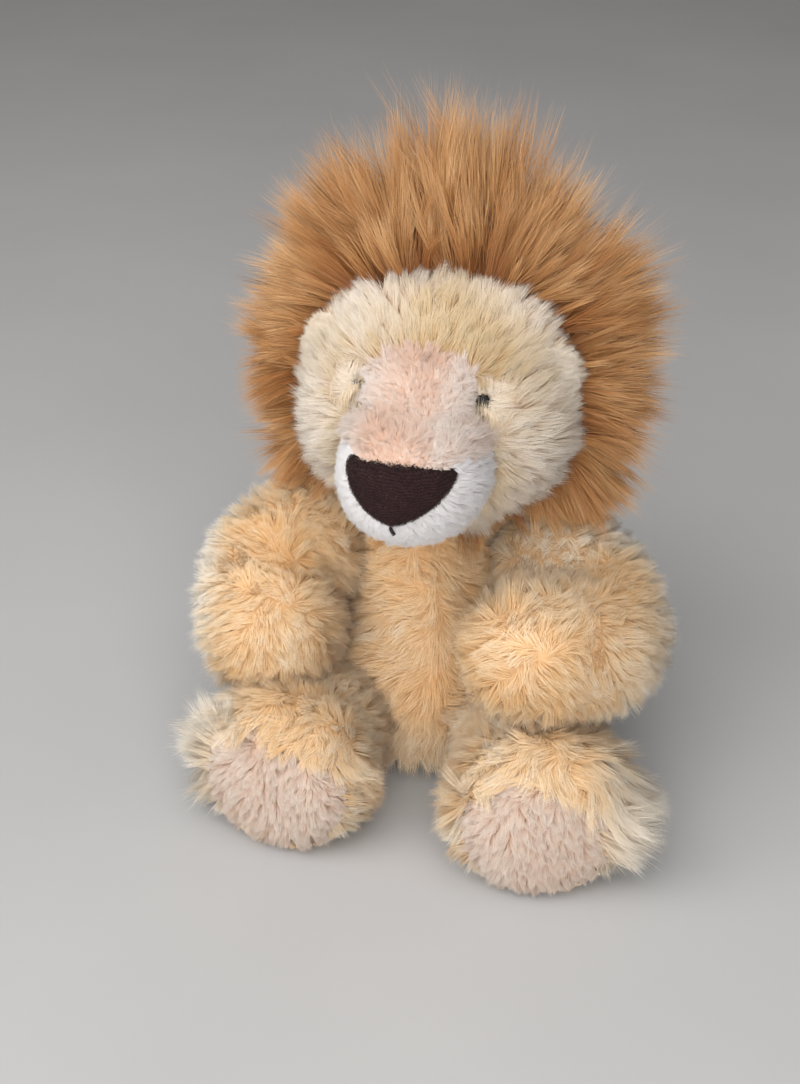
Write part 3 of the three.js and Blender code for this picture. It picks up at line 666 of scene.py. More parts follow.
def tousle(p, amount, fine=0.0):
    broad = np.stack([tousle_a(p), tousle_b(p), tousle_c(p)], 1)
    if not fine:
        return amount * broad
    return amount * broad + fine * np.stack([ruffle_a(p), ruffle_b(p), ruffle_c(p)], 1)


def strand_piece(name, surface, count, weight, field, material, rng, *, width=0.22, length=10.5, tone=None, keep_root=None,
                 skin=None, inset=0.5, extra=(), roll=0.9, lift=(60, 25), felt=0.0, trim=None, **style):
    """A panel of pile cloth: its backing, with the dense foot of the pile felt thick, and its strands."""
    p, n, vals = surface.sample(count, weight, rng)
    if keep_root is not None:
        ok = keep_root(p)
        p, n, vals = p[ok], n[ok], {k: x[ok] for k, x in vals.items()}
    comb = field(p, n, vals)
    L = length(p, n, vals) if callable(length) else np.full(len(p), float(length))
    tones = tone(p, n, vals) if callable(tone) else (None if tone is None else np.full(len(p), tone))
    st = {k: (x(p, n, vals) if callable(x) else x) for k, x in style.items()}
    if callable(lift):
        lift = lift(p, n, vals)
    x, tn = strands(p, n, comb, L, rng, tone=tones, lift=lift, **st)
    rise = np.reshape(felt(p) if callable(felt) else felt, (-1, 1, 1))
    x = above_floor(within_room(x + rise * n[:, None]))
    if trim is not None:
        x = trim(x)
    w = width * rng.uniform(0.75, 1.2, len(p))
    meshes = [spike_mesh(x, n, w, tn, rng) if x.shape[1] == 3 else ribbon_mesh(x, n, w, tn, rng, roll=roll)]
    if skin is not None:
        meshes.append(skin_mesh(surface, skin, inset - (felt(surface.v) if callable(felt) else felt)))
    return make(name, join(*meshes, *extra), material)


# ------------------------------------------------------------------------------------ torso
PARTING_X = 3.0


def parting(p):
    return PARTING_X + 2.4 * np.sin(p[:, 2] / 7.0) + 1.4 * np.sin(p[:, 2] / 3.1 + 1.0)


def torso_comb(p, n, vals):
    side = np.tanh((p[:, 0] - parting(p)) / 5.0)
    front = step(2, -14, p[:, 1])
    low = step(34, 12, p[:, 2])
    d = np.stack([side * (1 - 0.65 * low), np.zeros(len(p)), -0.45 - 1.1 * low], 1)
    back = np.stack([0.35 * np.sign(p[:, 0]), np.zeros(len(p)), -np.ones(len(p))], 1)
    return d * front[:, None] + back * (1 - front)[:, None] + tousle(p, 0.34, 0.32)


def torso_lift(p, n, vals):
    parted = np.exp(-(((p[:, 0] - parting(p)) / 4.0) ** 2)) * step(2, -14, p[:, 1]) * step(16, 34, p[:, 2])
    return lerp(66, 76, parted), lerp(34, 48, parted)


def torso_tone(p, n, vals):
    # paler below 40 mm: partly the paler fringe at the belly's bottom, partly painted light that lifts the shade
    # between the legs and arms
    return 0.34 + 0.08 * paleness(p) + 0.34 * step(40, 10, p[:, 2])


in_tail = in_limb(TAIL_LINE, lambda t: TAIL_RADIUS, 1.0)


def torso_root_ok(p):
    ok = ~in_tail(p)
    for k in LIMBS.values():
        ok &= ~k["inside"](p)
    local = (p - HEAD_CENTRE) @ HEAD_R
    ok &= ((local / (SKULL - 1.0)) ** 2).sum(1) > 1
    return ok


def belly(p):
    """Thickness of the felted foot of the pile: more over the hips, less where the legs swing."""
    swept = step(30, 16, p[:, 2]) * step(8, 18, np.abs(p[:, 0]))
    return 3.0 + 9.0 * step(3, 14, p[:, 2]) * step(60, 34, p[:, 2]) * step(2, -12, p[:, 1]) * (1 - 0.85 * swept)


front_half = lambda c, v: c[:, 1] < TORSO_AXIS_Y
side_wall = lambda c, v: c[:, 2] > 4.9
rng = np.random.default_rng(101)
ob = strand_piece(
    "torso_front", torso, 30000, lambda c, v: (front_half(c, v) & side_wall(c, v)) * 1.0, torso_comb, BODY, rng,
    length=lambda p, n, v: 8.0 + 2.4 * step(6, 14, p[:, 2]) * step(58, 36, p[:, 2]) - 2.5 * step(16, 5, p[:, 2]), tone=torso_tone, keep_root=torso_root_ok, per_tuft=34, clump=0.62,
    swirl=0.4, lift=torso_lift, felt=belly, skin=lambda c, v: front_half(c, v) & side_wall(c, v),
)
put(ob, "torso", ["torso_front_panel"])
rng = np.random.default_rng(102)
ob = strand_piece(
    "torso_back", torso, 27000, lambda c, v: (~front_half(c, v) & side_wall(c, v)) * 1.0, torso_comb, BODY, rng,
    length=7.8, tone=torso_tone, keep_root=torso_root_ok, per_tuft=34, clump=0.62, swirl=0.4, lift=(68, 38), felt=3.0,
    skin=lambda c, v: ~front_half(c, v) & side_wall(c, v),
)
put(ob, "torso", ["torso_back_panel"])
rng = np.random.default_rng(103)
ob = strand_piece(
    "seat", torso, 5500, lambda c, v: (~side_wall(c, v)) * (0.25 + 3.0 * (c[:, 2] > 0.6)),
    lambda p, n, v: np.stack([p[:, 0], p[:, 1] - TORSO_AXIS_Y, np.full(len(p), -6.0)], 1), BODY, rng,
    length=lambda p, n, v: np.where(p[:, 2] > 0.6, 6.5, 2.5), tone=0.45, keep_root=torso_root_ok, per_tuft=34, lift=(40, 4),
    skin=lambda c, v: ~side_wall(c, v), inset=0.0,
)
put(ob, "torso", ["seat_panel"])


# ------------------------------------------------------------------------------------ arms
def limb_plane(line):
    a, b, c = (np.array(line[i], float) for i in (0, len(line) // 2, -1))
    n = unit(np.cross(b - a, c - a))
    return n if n[2] > 0 else -n


def pad_place(arm):
    end, before = np.array(arm["line"][-1], float), np.array(arm["line"][-2], float)
    along = unit(end - before)
    return end + 3 * along - limb_plane(arm["line"]) * arm["radii"][2]


def build_arm(name, body, spec, whorl, seeds, swing_axis, swing):
    limb = LIMBS[name]
    surf = limb["surface"]
    root, plane = np.array(spec["line"][0], float), limb_plane(spec["line"])
    end = np.array(spec["line"][-1], float)
    pad = pad_place(spec)
    is_top = lambda c: (c - root) @ plane > 0
    in_pad = lambda c: np.linalg.norm(c - pad, axis=1) < 12.3

    def closeness(p, size):
        return np.exp(-((np.linalg.norm(p - whorl["at"], axis=1) / size) ** 2))

    def comb(p, n, v):
        away = unit(p - whorl["at"])
        near = closeness(p, whorl["reach"])[:, None]
        flow = 0.3 * v["tangent"] * step(0.5, 0.0, v["t"])[:, None] + np.array([0.25 * np.sign(root[0]), -0.55, -0.55])
        return away * (0.2 + whorl["pull"] * near) + flow * (1 - near) + tousle(p, 0.44, 0.38) * (1 - whorl["calm"] * near)

    def lift(p, n, v):
        top = closeness(p, 7.0) * whorl["calm"]
        return lerp(68, 80, top), lerp(38, 56, top)

    sign = 1.0 if root[0] > 0 else -1.0

    def tone(p, n, v):
        outer = step(0.35, 0.95, sign * n[:, 0])
        # the upper share makes the upper arm paler: painted light against the shade under the mane and head
        return 0.33 + 0.09 * paleness(p) + 0.3 * whorl["calm"] * closeness(p, 9.0) + whorl["edge"] * outer + whorl["upper"] * step(0.6, 0.2, v["t"])\
            + 0.4 * step(-0.2, -0.7, n[:, 2]) * step(0.4, 0.9, v["t"])

    def ok(p):
        # kept where any pose within the swing brings the root out of the body
        free = np.zeros(len(p), bool)
        for a in swing:
            q = root + turn_about(p - root, np.tile(swing_axis, (len(p), 1)), np.full(len(p), math.radians(a)))
            free |= ~in_torso(q, 0.5)
        return free

    for half, panel, seed in ((True, "top", seeds[0]), (False, "under", seeds[1])):
        rng = np.random.default_rng(seed)
        here = (lambda c, v: is_top(c)) if half else (lambda c, v: ~is_top(c))
        ob = strand_piece(
            f"{name}_{panel}", surf, 29000, lambda c, v, h=here: (h(c, v) & ~in_pad(c)) * 1.0, comb, BODY, rng,
            length=lambda p, n, v: 7.2 + 0.5 * tousle_a(p * 0.7), tone=tone, keep_root=ok, per_tuft=36, clump=0.64, swirl=0.45,
            lift=lift, felt=3.2, skin=lambda c, v, h=here: h(c, v) & ~in_pad(c) & ok(c),
        )
        put(ob, body, [f"{name}_{panel}_panel"])
    rng = np.random.default_rng(seeds[2])
    ob = strand_piece(
        f"{name.split('_')[0]}_pad", surf, 4500, lambda c, v: in_pad(c) * 1.0,
        lambda p, n, v: unit(p - pad) + tousle(p, 0.6), SOLE, rng, width=0.25, length=5.5, tone=0.45, per_tuft=24, clump=0.75,
        swirl=0.5, lift=(66, 40), skin=lambda c, v: in_pad(c), inset=-0.8,
    )
    put(ob, body, [f"{name.split('_')[0]}_paw_pad"])


# upper: how much paler the upper arm is made, as painted light against the shadow of the mane and head
build_arm("left_arm", "left_arm", LEFT_ARM, dict(at=np.array([38.0, -74.0, 82.0]), reach=22.0, edge=0.4, pull=0.4, calm=0.1, upper=0.45), (111, 112, 113),
          np.array([0, 0, 1.0]), (-10, 0, 20, 45))
build_arm("right_arm", "right_arm", RIGHT_ARM, dict(at=np.array([-46.0, -34.0, 90.0]), reach=30.0, edge=0.7, pull=0.5, calm=0.0, upper=0.15), (114, 115, 116),
          np.array([0, 0, -1.0]), (0, 20, 45))


# ------------------------------------------------------------------------------------ legs
def build_leg(name, spec, seeds, pale_side, sole_shift, sole_radius, sole_squat):
    limb = LIMBS[name]
    surf = limb["surface"]
    root = np.array(spec["line"][0], float)
    end, before = np.array(spec["line"][-1], float), np.array(spec["line"][-2], float)
    along = unit(end - before)
    tilt = unit(along + np.array([0, 0, 0.12]))
    sole_at = end + SOLE_AHEAD * along
    # slim at the hip seam
    rings = surf.v.reshape(-1, 56, 3)
    middle = np.repeat(rings.mean(1), 56, axis=0)
    body = middle + (surf.v - middle) * (1 - HIP_TAPER * step(0.6, 0.0, surf.values["t"]))[:, None]
    # flat sole with a soft edge and a slight crown, flat under the leg
    d = (body - sole_at) @ tilt
    soft = 4.2
    lower = d - soft * np.logaddexp(0, d / soft)
    rad = np.linalg.norm((body - end) - ((body - end) @ tilt)[:, None] * tilt, axis=1)
    crown = 2.6 * np.clip(1 - (rad / 22) ** 2, 0, 1)
    v = body + (lower + crown * step(-6, 3, d) - d)[:, None] * tilt
    v[:, 2] = np.maximum(v[:, 2], FLOOR_CLEAR)
    depth = (v - sole_at) @ tilt
    off = v - (sole_at + np.array(sole_shift))
    off = np.linalg.norm((off - (off @ tilt)[:, None] * tilt) * np.array([sole_squat, 1, 1]), axis=1) + 1.3 * ruffle_b(v) + 0.8 * ruffle_c(v * 2.0)
    surf = Surface(v, surf.quads, end - 8 * along, t=surf.values["t"], tangent=surf.values["tangent"], depth=d, off=off)
    is_sole = lambda v: (v["depth"] > -4.0) & (v["off"] < sole_radius)
    up = np.array([0, 0, 1.0])
    across = unit(np.cross(along, up))
    sign = 1.0 if root[0] > 0 else -1.0

    def comb(p, n, v):
        rim = step(0.72, 1.0, v["t"])
        radial = unit((p - end) - ((p - end) @ tilt)[:, None] * tilt)
        above = step(0.1, 0.7, radial[:, 2])[:, None]
        below = step(-0.2, -0.8, radial[:, 2])[:, None]
        flow = 0.45 * along[None] + np.array([0, 0, -0.25]) + 0.5 * sign * pale_side * across[None]
        edge = radial * 0.8 + along * 0.15 + np.array([0, 0, -0.25])
        over = along * 1.0 + np.array([0, 0, -0.6]) + radial * 0.1
        under = -along * 0.8 + radial * 0.2
        edge = edge * (1 - above - below) + over * above + under * below
        d = flow * (1 - rim)[:, None] + edge * rim[:, None]
        return d + tousle(p, 0.4, 0.34)

    def fan(p, v):
        radial = unit((p - end) - ((p - end) @ tilt)[:, None] * tilt)
        return (pale_side > 0.4) * step(0.45, 0.85, sign * radial[:, 0]) * step(-0.6, 0.1, radial[:, 2]) * step(0.8, 1.0, v["t"])

    def length(p, n, v):
        radial = unit((p - end) - ((p - end) @ tilt)[:, None] * tilt)
        rim = step(0.8, 1.05, v["t"])
        fringe = 2.8 * step(-0.3, 0.3, radial[:, 2]) - 6.0 * step(-0.3, -0.75, radial[:, 2])
        outer = step(0.25, 0.8, sign * radial[:, 0]) * step(-0.85, -0.5, radial[:, 2])
        full = 7.2 + (fringe + 4.5 * outer) * rim + 4.0 * fan(p, v) + 0.5 * tousle_b(p * 0.7)
        full = full * lerp(0.45, 1.0, step(3.0, 11.0, torso_gap(p)))
        # short pile where the swung leg comes to lie against the body
        swung = root + turn_about(p - root, np.tile(np.array([1.0, 0, 0]), (len(p), 1)), np.full(len(p), math.radians(40)))
        return np.where(in_torso(swung, 13.0) & (n[:, 2] < 0.2), 0.3 * full, full)

    def lift(p, n, v):
        rim = step(0.85, 1.0, v["t"]) * step(0.2, 0.7, n[:, 2])
        return lerp(68, 54, rim), lerp(38, 4, rim)

    def tone(p, n, v):
        outer = step(0.2, 0.9, sign * n[:, 0])
        rim = step(0.75, 1.05, v["t"])
        radial = unit((p - end) - ((p - end) @ tilt)[:, None] * tilt)
        beside = step(8, 1, v["off"] - sole_radius) * step(-14, -4, v["depth"]) * step(0.75, 0.1, radial[:, 2])
        # the step on t makes the upper leg by the hip paler: painted light against the shade between leg, arm and body
        return 0.38 + 0.1 * paleness(p) + 0.16 * step(1.0, 0.5, v["t"]) + rim * (0.14 + (0.34 + 0.3 * pale_side) * outer) + 0.2 * fan(p, v) + 0.24 * beside

    def ok(p):
        free = np.zeros(len(p), bool)
        for a in (0, 20, 40):
            q = root + turn_about(p - root, np.tile(np.array([1.0, 0, 0]), (len(p), 1)), np.full(len(p), math.radians(a)))
            free |= ~in_torso(q, 0.5)
        return free

    for half, panel, seed in ((True, "top", seeds[0]), (False, "under", seeds[1])):
        rng = np.random.default_rng(seed)
        here = (lambda c: c[:, 2] > root[2]) if half else (lambda c: c[:, 2] <= root[2])
        ob = strand_piece(
            f"{name}_{panel}", surf, 31000 if half else 24000,
            lambda c, v, h=here: (h(c) & ~is_sole(v)) * np.where(c[:, 2] < 0.6, 0.12, 1.0), comb, BODY, rng,
            length=length, tone=tone, keep_root=ok, per_tuft=36, clump=lambda p, n, v: 0.64 + 0.2 * fan(p, v), swirl=0.45, lift=lift, felt=lambda p: 3.0 * step(4.0, 16.0, torso_gap(p)),
            skin=lambda c, v, h=here: h(c) & ~is_sole(v) & ok(c),
        )
        put(ob, name, [f"{name}_{panel}_panel"])
    rng = np.random.default_rng(seeds[2])

    def sole_comb(p, n, v):
        radial = unit(p - sole_at)
        rim = step(12, 22, np.linalg.norm(p - sole_at, axis=1))
        return np.array([0.1, 0, -1.0])[None] * (1 - 0.6 * rim)[:, None] + radial * (0.25 + 0.7 * rim)[:, None] + tousle(p, 0.35)

    ob = strand_piece(
        f"{name.split('_')[0]}_foot_sole", surf, 19000, lambda c, v: is_sole(v) * 1.0, sole_comb, SOLE, rng, width=0.25,
        length=5.2, tone=lambda p, n, v: 0.6 + 0.08 * paleness(p), per_tuft=44, clump=0.8, swirl=0.5, lift=(64, 34),
        tip_spread=0.26, tone_clump=0.15, lift_spread=16, felt=0.6,
        skin=lambda c, v: (v["depth"] > -8.0) & (v["off"] < sole_radius + 3.5),
    )
    put(ob, name, [f"{name.split('_')[0]}_sole"])


build_leg("left_leg", LEFT_LEG, (121, 122, 123), 0.5, (-3.5, 0, -0.3), 20.6, 0.95)
build_leg("right_leg", RIGHT_LEG, (124, 125, 126), 0.25, (1.6, 0, -0.8), 19.6, 0.82)

# ------------------------------------------------------------------------------------ tail
tail = limb_surface(TAIL_LINE, lambda t: TAIL_RADIUS, sides=28, shaft=40, cap=6)
rng = np.random.default_rng(131)
ob = strand_piece(
    "tail", tail, 10000, lambda c, v: (v["t"] < 1.02) * np.where(c[:, 2] < 3.2, 0.3, 1.0),
    lambda p, n, v: v["tangent"] + tousle(p, 0.25), BODY, rng, length=6.5, tone=0.35, per_tuft=26, clump=0.6,
    swirl=0.3, lift=(48, 16), skin=lambda c, v: v["t"] < 1.1,
)
put(ob, "tail", ["tail_tube"])
tuft = ellipsoid_surface(TUFT_AT, TUFT - 2.0)
tuft_dir = unit(np.array([0.75, -0.6, 0.1]))
rng = np.random.default_rng(132)
ob = strand_piece(
    "tail_tuft_hair", tuft, 8000, lambda c, v: np.where(c[:, 2] < 2.6, 0.3, 1.0), lambda p, n, v: tuft_dir + tousle(p, 0.25), MANE_M, rng,
    width=0.24, length=10.5, tone=0.45, per_tuft=32, clump=0.7, swirl=0.3, lift=(46, 10), skin=lambda c, v: np.ones(len(c), bool),
)
put(ob, "tail", ["tail_tuft"])

# ------------------------------------------------------------------------------------ head
head_local = head


def in_world(surface):
    return Surface(from_head(surface.v), surface.quads, from_head(HEAD_INNER[None])[0], local=surface.v, **surface.values)


head = in_world(head_local)
is_back = lambda v: v["local"][:, 1] > FACE_SEAM_Y
is_snout = lambda v: (v["snout"] > 0) & (v["local"][:, 1] < -18)
is_face = lambda v: ~is_back(v) & ~is_snout(v)
is_bridge = lambda v: is_snout(v) & (v["local"][:, 2] > MUZZLE_SEAM_Z)
near_snout = lambda v: (v["snout"] > -3.5) & (v["local"][:, 1] < -14)  # the cloth runs on under its neighbour
is_chin = lambda v: is_snout(v) & (v["local"][:, 2] <= MUZZLE_SEAM_Z)


def eye_place(side):
    x, z = EYE_AT[0] * side - (1.5 if side > 0 else 0.0), EYE_AT[1]
    y = -SKULL[1] * math.sqrt(1 - (x / SKULL[0]) ** 2 - (z / SKULL[2]) ** 2)
    out = unit(np.array([x, y, z]) / SKULL**2)
    out = unit(lerp(out, np.array([0, -1.0, 0]), 0.35))
    return np.array([x, y, z]), out


EYES = {side: eye_place(side) for side in (1, -1)}


# what the pile leaves open of each eye: a small gap at its inner side
EYE_GAP = {1: np.array([-2.0, 0, -1.4]), -1: np.array([2.0, 0, -1.9])}
SPOTS = {side: at + 4.0 * out + EYE_GAP[side] for side, (at, out) in EYES.items()}


def eye_hold(local):
    """How far the pile is drawn over the nearer eye, the direction it lies in, and the distance to the gap left open."""
    side = np.where(local[:, 0] > 0, 1, -1)
    spot = np.where((side > 0)[:, None], SPOTS[1], SPOTS[-1])
    d = spot - local
    dist = np.linalg.norm(d, axis=1)
    return step(11.5, 7.5, dist), unit(d), dist


def under_eye(local):
    hit = np.zeros(len(local), bool)
    for at, out in EYES.values():
        d = local - at
        hit |= np.linalg.norm(d - (d @ out)[:, None] * out, axis=1) < EYE_RADIUS - 0.4
    return hit


def face_comb(p, n, v):
    q = v["local"]
    away = unit(q - np.array([0, -62.0, -2.0]))
    d = away + np.array([0, 0, 0.1])
    hold, toward, _ = eye_hold(q)
    d = lerp(d, 1.2 * toward, hold[:, None])
    return turn_from_head(d) + tousle(p, 0.2, 0.2) * (1 - 0.7 * hold[:, None])


def face_tone(p, n, v):
    q = v["local"]
    centre = np.exp(-(((q[:, 0] - 2) / 20) ** 2 + ((q[:, 2] - 24) / 13) ** 2))
    # darker along the muzzle's crease below the eyes: painted shade of the crease
    crease_shade = np.exp(-((v["snout"] / 5.0) ** 2)) * step(22, 14, q[:, 2]) * step(-10, -20, q[:, 1])
    # a golden tuft above the eye at +x, and a darker patch beside the eye at -x, which is painted shade of the hollow
    # there
    brow = np.exp(-(((q[:, 0] - 14) / 8) ** 2 + ((q[:, 2] - 24) / 7) ** 2)) + 0.8 * np.exp(-(((q[:, 0] + 25) / 5) ** 2 + ((q[:, 2] - 13) / 8) ** 2))
    return 0.7 + 0.12 * paleness(p) - 0.5 * centre - 0.5 * brow - 0.45 * crease_shade + 0.22 * step(-16, 0, q[:, 1])


def face_length(p, n, v):
    hold, _, dist = eye_hold(v["local"])
    return lerp(9.0 + 0.7 * tousle_c(p), np.clip(0.9 * dist - 1.8, 1.0, 7.0), hold)


# the pile closes over each eye like lids: edges of the upper and lower one and the outer corner, from the eye's middle
LIDS = {1: dict(upper=0.6, lower=-2.8, outer=0.5), -1: dict(upper=-1.5, lower=-2.5, outer=-1.7)}
EYE_SUNK = 1.0


def dome_height(a, b):
    k = 1 - (a * a + b * b) / EYE_RADIUS**2
    return np.where(k > 0, 1.85 + 2.85 * np.sqrt(np.maximum(k, 0)), 1.85 + 0.6 * np.maximum(k, -1.2)) - EYE_SUNK


def eye_cover(side, rng):
    """Pile that falls over an eye from the brow, from below and from its outer side, and leaves a slit."""
    at, out = EYES[side]
    ea = unit(np.array([side, 0, 0.0]) - side * out[0] * out)
    eb = np.cross(out, ea) * -side
    flat = lambda q: ((q - at) @ ea, (q - at) @ eb)
    lid = LIDS[side]

    def above(a, b):
        return (b > 2.2) & (b < 13) & (np.abs(a) < 10)

    def below(a, b):
        return (b < -3.4) & (b > -9) & (np.abs(a + 0.5) < 6)

    def beside(a, b):
        return (a > 3.0) & (a < 12) & (np.abs(b) < 7)

    meshes = []
    for where, count, base in ((above, 1400, 0.4), (below, 500, 0.75), (beside, 900, 0.66)):
        _, n, vals = head.sample(count, lambda c, v: where(*flat(v["local"])) & (v["local"][:, 1] < -8), rng)
        q = vals["local"] + 1.5 * (n @ HEAD_R)
        a, b = flat(q)
        ragged = rng.normal(0, 0.6, 60)[np.clip(np.floor((b if where is beside else a) * 0.8 + 30).astype(int), 0, 59)]
        if where is above:
            ta, tb = 0.75 * a + rng.normal(0, 0.5, count), lid["upper"] - 0.3 + ragged + np.abs(rng.normal(0, 1.6, count)) + 0.25 * np.maximum(b - 5, 0)
            tb = np.where(rng.random(count) < 0.02, lid["lower"] + rng.uniform(0, 2.0, count), tb)
        elif where is below:
            ta, tb = 0.8 * a + rng.normal(0, 0.5, count), lid["lower"] + 0.3 + 0.6 * ragged - np.abs(rng.normal(0, 1.1, count))
        else:
            ta, tb = lid["outer"] - 0.3 + ragged + np.abs(rng.normal(0, 1.8, count)) + 0.3 * np.maximum(a - 5, 0), 0.7 * b + rng.normal(0, 0.8, count)
        height = dome_height(ta, tb) + rng.uniform(0.4, 1.3, count)
        tip = at + ta[:, None] * ea + tb[:, None] * eb + height[:, None] * out
        rise = np.maximum(height - (q - at) @ out, 0)
        knee = lerp(q, tip, 0.5) + (rng.uniform(1.2, 2.4, count) + 0.45 * rise)[:, None] * out
        t = np.linspace(0, 1, 4)[None, :, None]
        x = (1 - t) ** 2 * q[:, None] + 2 * t * (1 - t) * knee[:, None] + t * t * tip[:, None]
        tone = np.clip(base + rng.normal(0, 0.14, count), 0.012, 0.988)
        meshes.append(ribbon_mesh(from_head(x), n, np.full(count, 0.24), tone, rng))
    return meshes


def face_lift(p, n, v):
    hold, _, _ = eye_hold(v["local"])
    return lerp(54, 60, hold), lerp(26, 4, hold)


rng = np.random.default_rng(141)
ob = strand_piece(
    "face", head, 47000, lambda c, v: (is_face(v) & ~under_eye(v["local"])) * 1.0, face_comb, FACE, rng,
    length=face_length, tone=face_tone, per_tuft=48, clump=0.68, swirl=0.3, tone_clump=0.1, lift=face_lift, skin=lambda c, v: is_face(v), felt=1.7,
    extra=(*eye_cover(1, rng), *eye_cover(-1, rng)),
)
put(ob, "head", ["face_panel"])

rng = np.random.default_rng(142)


def bridge_comb(p, n, v):
    q = v["local"]
    d = np.stack([q[:, 0] * 0.05, np.full(len(q), 0.6), np.full(len(q), 0.5)], 1)
    return turn_from_head(d) + tousle(p * 1.8, 0.4, 0.5)


def above_nose(local):
    """Height over the upper edge of the nose patch, along the muzzle."""
    return np.where(np.abs(local[:, 0]) < NOSE_HALF + 1.5, local[:, 2] - lerp(NOSE_CORNER_Z, NOSE_TOP_Z, 1 - (local[:, 0] / NOSE_HALF) ** 2) + 1.5, 9.0)


def bridge_length(p, n, v):
    q = v["local"]
    side = step(7, 17, np.abs(q[:, 0])) * np.where(q[:, 0] > 0, 3.6, 1.8)
    _, _, to_eye = eye_hold(q)
    side = side * step(6, 12, to_eye) - 1.8 * step(9, 5, to_eye)
    return (4.4 + side) * lerp(0.32, 1.0, step(0.3, 4.5, above_nose(q)))


ob = strand_piece(
    "muzzle_bridge", head, 27000, lambda c, v: is_bridge(v) * 1.0, bridge_comb, BRIDGE_M, rng,
    length=bridge_length, per_tuft=26, clump=0.7, swirl=0.55, lift=(62, 32), frizz=0.1, tone_clump=0.16,
    tone=lambda p, n, v: 0.14 + 0.74 * step(6, 13.5, np.abs(v["local"][:, 0] + 1.5)) + 0.12 * paleness(p * 1.6), skin=lambda c, v: near_snout(v) & (v["local"][:, 2] > MUZZLE_SEAM_Z - 1.5), felt=0.6,
)
put(ob, "head", ["muzzle_bridge_panel"])


def on_muzzle(x, z, above):
    rx, ry, rz = (m + above for m in MUZZLE)
    k = 1 - ((x - MUZZLE_CENTRE[0]) / rx) ** 2 - ((z - MUZZLE_CENTRE[2]) / rz) ** 2
    return np.stack([x, MUZZLE_CENTRE[1] - ry * np.sqrt(np.maximum(k, 1e-4)), z], -1)


# outline of the nose patch, as the upper and lower edge over its width
def quad_curve(a, b, c, count=24):
    t = np.linspace(0, 1, count)[:, None]
    a, b, c = map(np.array, (a, b, c))
    return (1 - t) ** 2 * a + 2 * t * (1 - t) * b + t * t * c


H, CZ, TZ, BZ = NOSE_HALF, NOSE_CORNER_Z - 1.2, NOSE_TOP_Z - 1.8, NOSE_TIP_Z
nose_top = np.concatenate([
    quad_curve((-H, CZ - 1.2), (-H, CZ + 0.6), (-H + 2, CZ + 1.2)), quad_curve((-H + 2, CZ + 1.2), (0, TZ + 3.2), (H - 2, CZ + 1.2)),
    quad_curve((H - 2, CZ + 1.2), (H, CZ + 0.6), (H, CZ - 1.2)),
])
nose_low = np.concatenate([
    quad_curve((-H, CZ - 1.2), (-H * 0.86, BZ + 5.5), (-3.2, BZ + 0.6)), quad_curve((-3.2, BZ + 0.6), (0, BZ - 0.8), (3.2, BZ + 0.6)),
    quad_curve((3.2, BZ + 0.6), (H * 0.86, BZ + 5.5), (H, CZ - 1.2)),
])
nose_edge = np.concatenate([nose_top, nose_low[::-1]])


def nose_span(x):
    return np.interp(x, nose_low[:, 0], nose_low[:, 1]), np.interp(x, nose_top[:, 0], nose_top[:, 1])


def edge_distance(q):
    out = np.empty(len(q))
    a, b = nose_edge, np.roll(nose_edge, -1, 0)
    ab = b - a
    for i in range(0, len(q), 1024):
        d = q[i : i + 1024, None] - a[None]
        t = np.clip((d * ab).sum(-1) / np.maximum((ab * ab).sum(-1), 1e-9), 0, 1)
        out[i : i + 1024] = np.linalg.norm(d - t[..., None] * ab, axis=-1).min(1)
    return out


def in_nose(local, grow=0.0):
    lo, hi = nose_span(np.clip(local[:, 0], -H, H))
    return (np.abs(local[:, 0]) < H + grow) & (local[:, 2] > lo - grow) & (local[:, 2] < hi + grow) & (local[:, 1] < -45)


MOUTH = np.array([on_muzzle(np.array(x), np.array(z), 1.7) for x, z in ((0.0, BZ - 0.7), (0.4, BZ - 2.2), (1.1, BZ - 3.7))])


def near_mouth(local):
    d = np.full(len(local), 1e9)
    for k in np.linspace(0, 1, 9):
        m = np.array([np.interp(k, [0, 0.5, 1], MOUTH[:, i]) for i in range(3)])
        d = np.minimum(d, np.linalg.norm(local - m, axis=1))
    return d


def chin_comb(p, n, v):
    q = v["local"]
    d = unit(q - np.array([0, -66.0, 3.0])) + np.array([0, 0.25, -0.1])
    return turn_from_head(d) + tousle(p * 1.8, 0.25)


rng = np.random.default_rng(143)
ob = strand_piece(
    "muzzle_chin", head, 29000, lambda c, v: (is_chin(v) & ~in_nose(v["local"], -0.8)) * 1.0, chin_comb, WHITE, rng,
    length=lambda p, n, v: np.where(near_mouth(v["local"]) < 2.2, 1.0, 2.6 + 1.6 * step(4, 18, v["local"][:, 0])), per_tuft=26, clump=0.7,
    swirl=0.5, lift=(62, 30), tone_clump=0.2, tone=lambda p, n, v: 0.6 + 0.1 * paleness(p),
    skin=lambda c, v: near_snout(v) & (v["local"][:, 2] <= MUZZLE_SEAM_Z + 1.0),
)
put(ob, "head", ["muzzle_chin_panel"])

# nose patch: knitted cloth over the muzzle with a turned-in edge
cols, rows = 250, 120
xs = np.sin(np.linspace(-np.pi / 2, np.pi / 2, cols)) * (H - 0.02)
xs = lerp(np.linspace(-H + 0.02, H - 0.02, cols), xs, 0.35)
lo, hi = nose_span(xs)
vv = np.linspace(0, 1, rows)
gx = np.repeat(xs[:, None], rows, 1)
gz = lo[:, None] + (hi - lo)[:, None] * vv[None]
flat = np.stack([gx.ravel(), gz.ravel()], 1)
edge = edge_distance(flat)
here = np.stack([flat[:, 0], np.zeros(len(flat)), flat[:, 1]], 1)
col = flat[:, 0] / 0.95 + 0.16 * Waves(22, 5)(here)
row = flat[:, 1] / 0.8 + 0.2 * Waves(23, 6)(here)
lean = np.abs((col % 1.0) - 0.5)
stitch = np.floor(col) * 12.9898 + np.floor(row + lean * 1.1) * 78.233
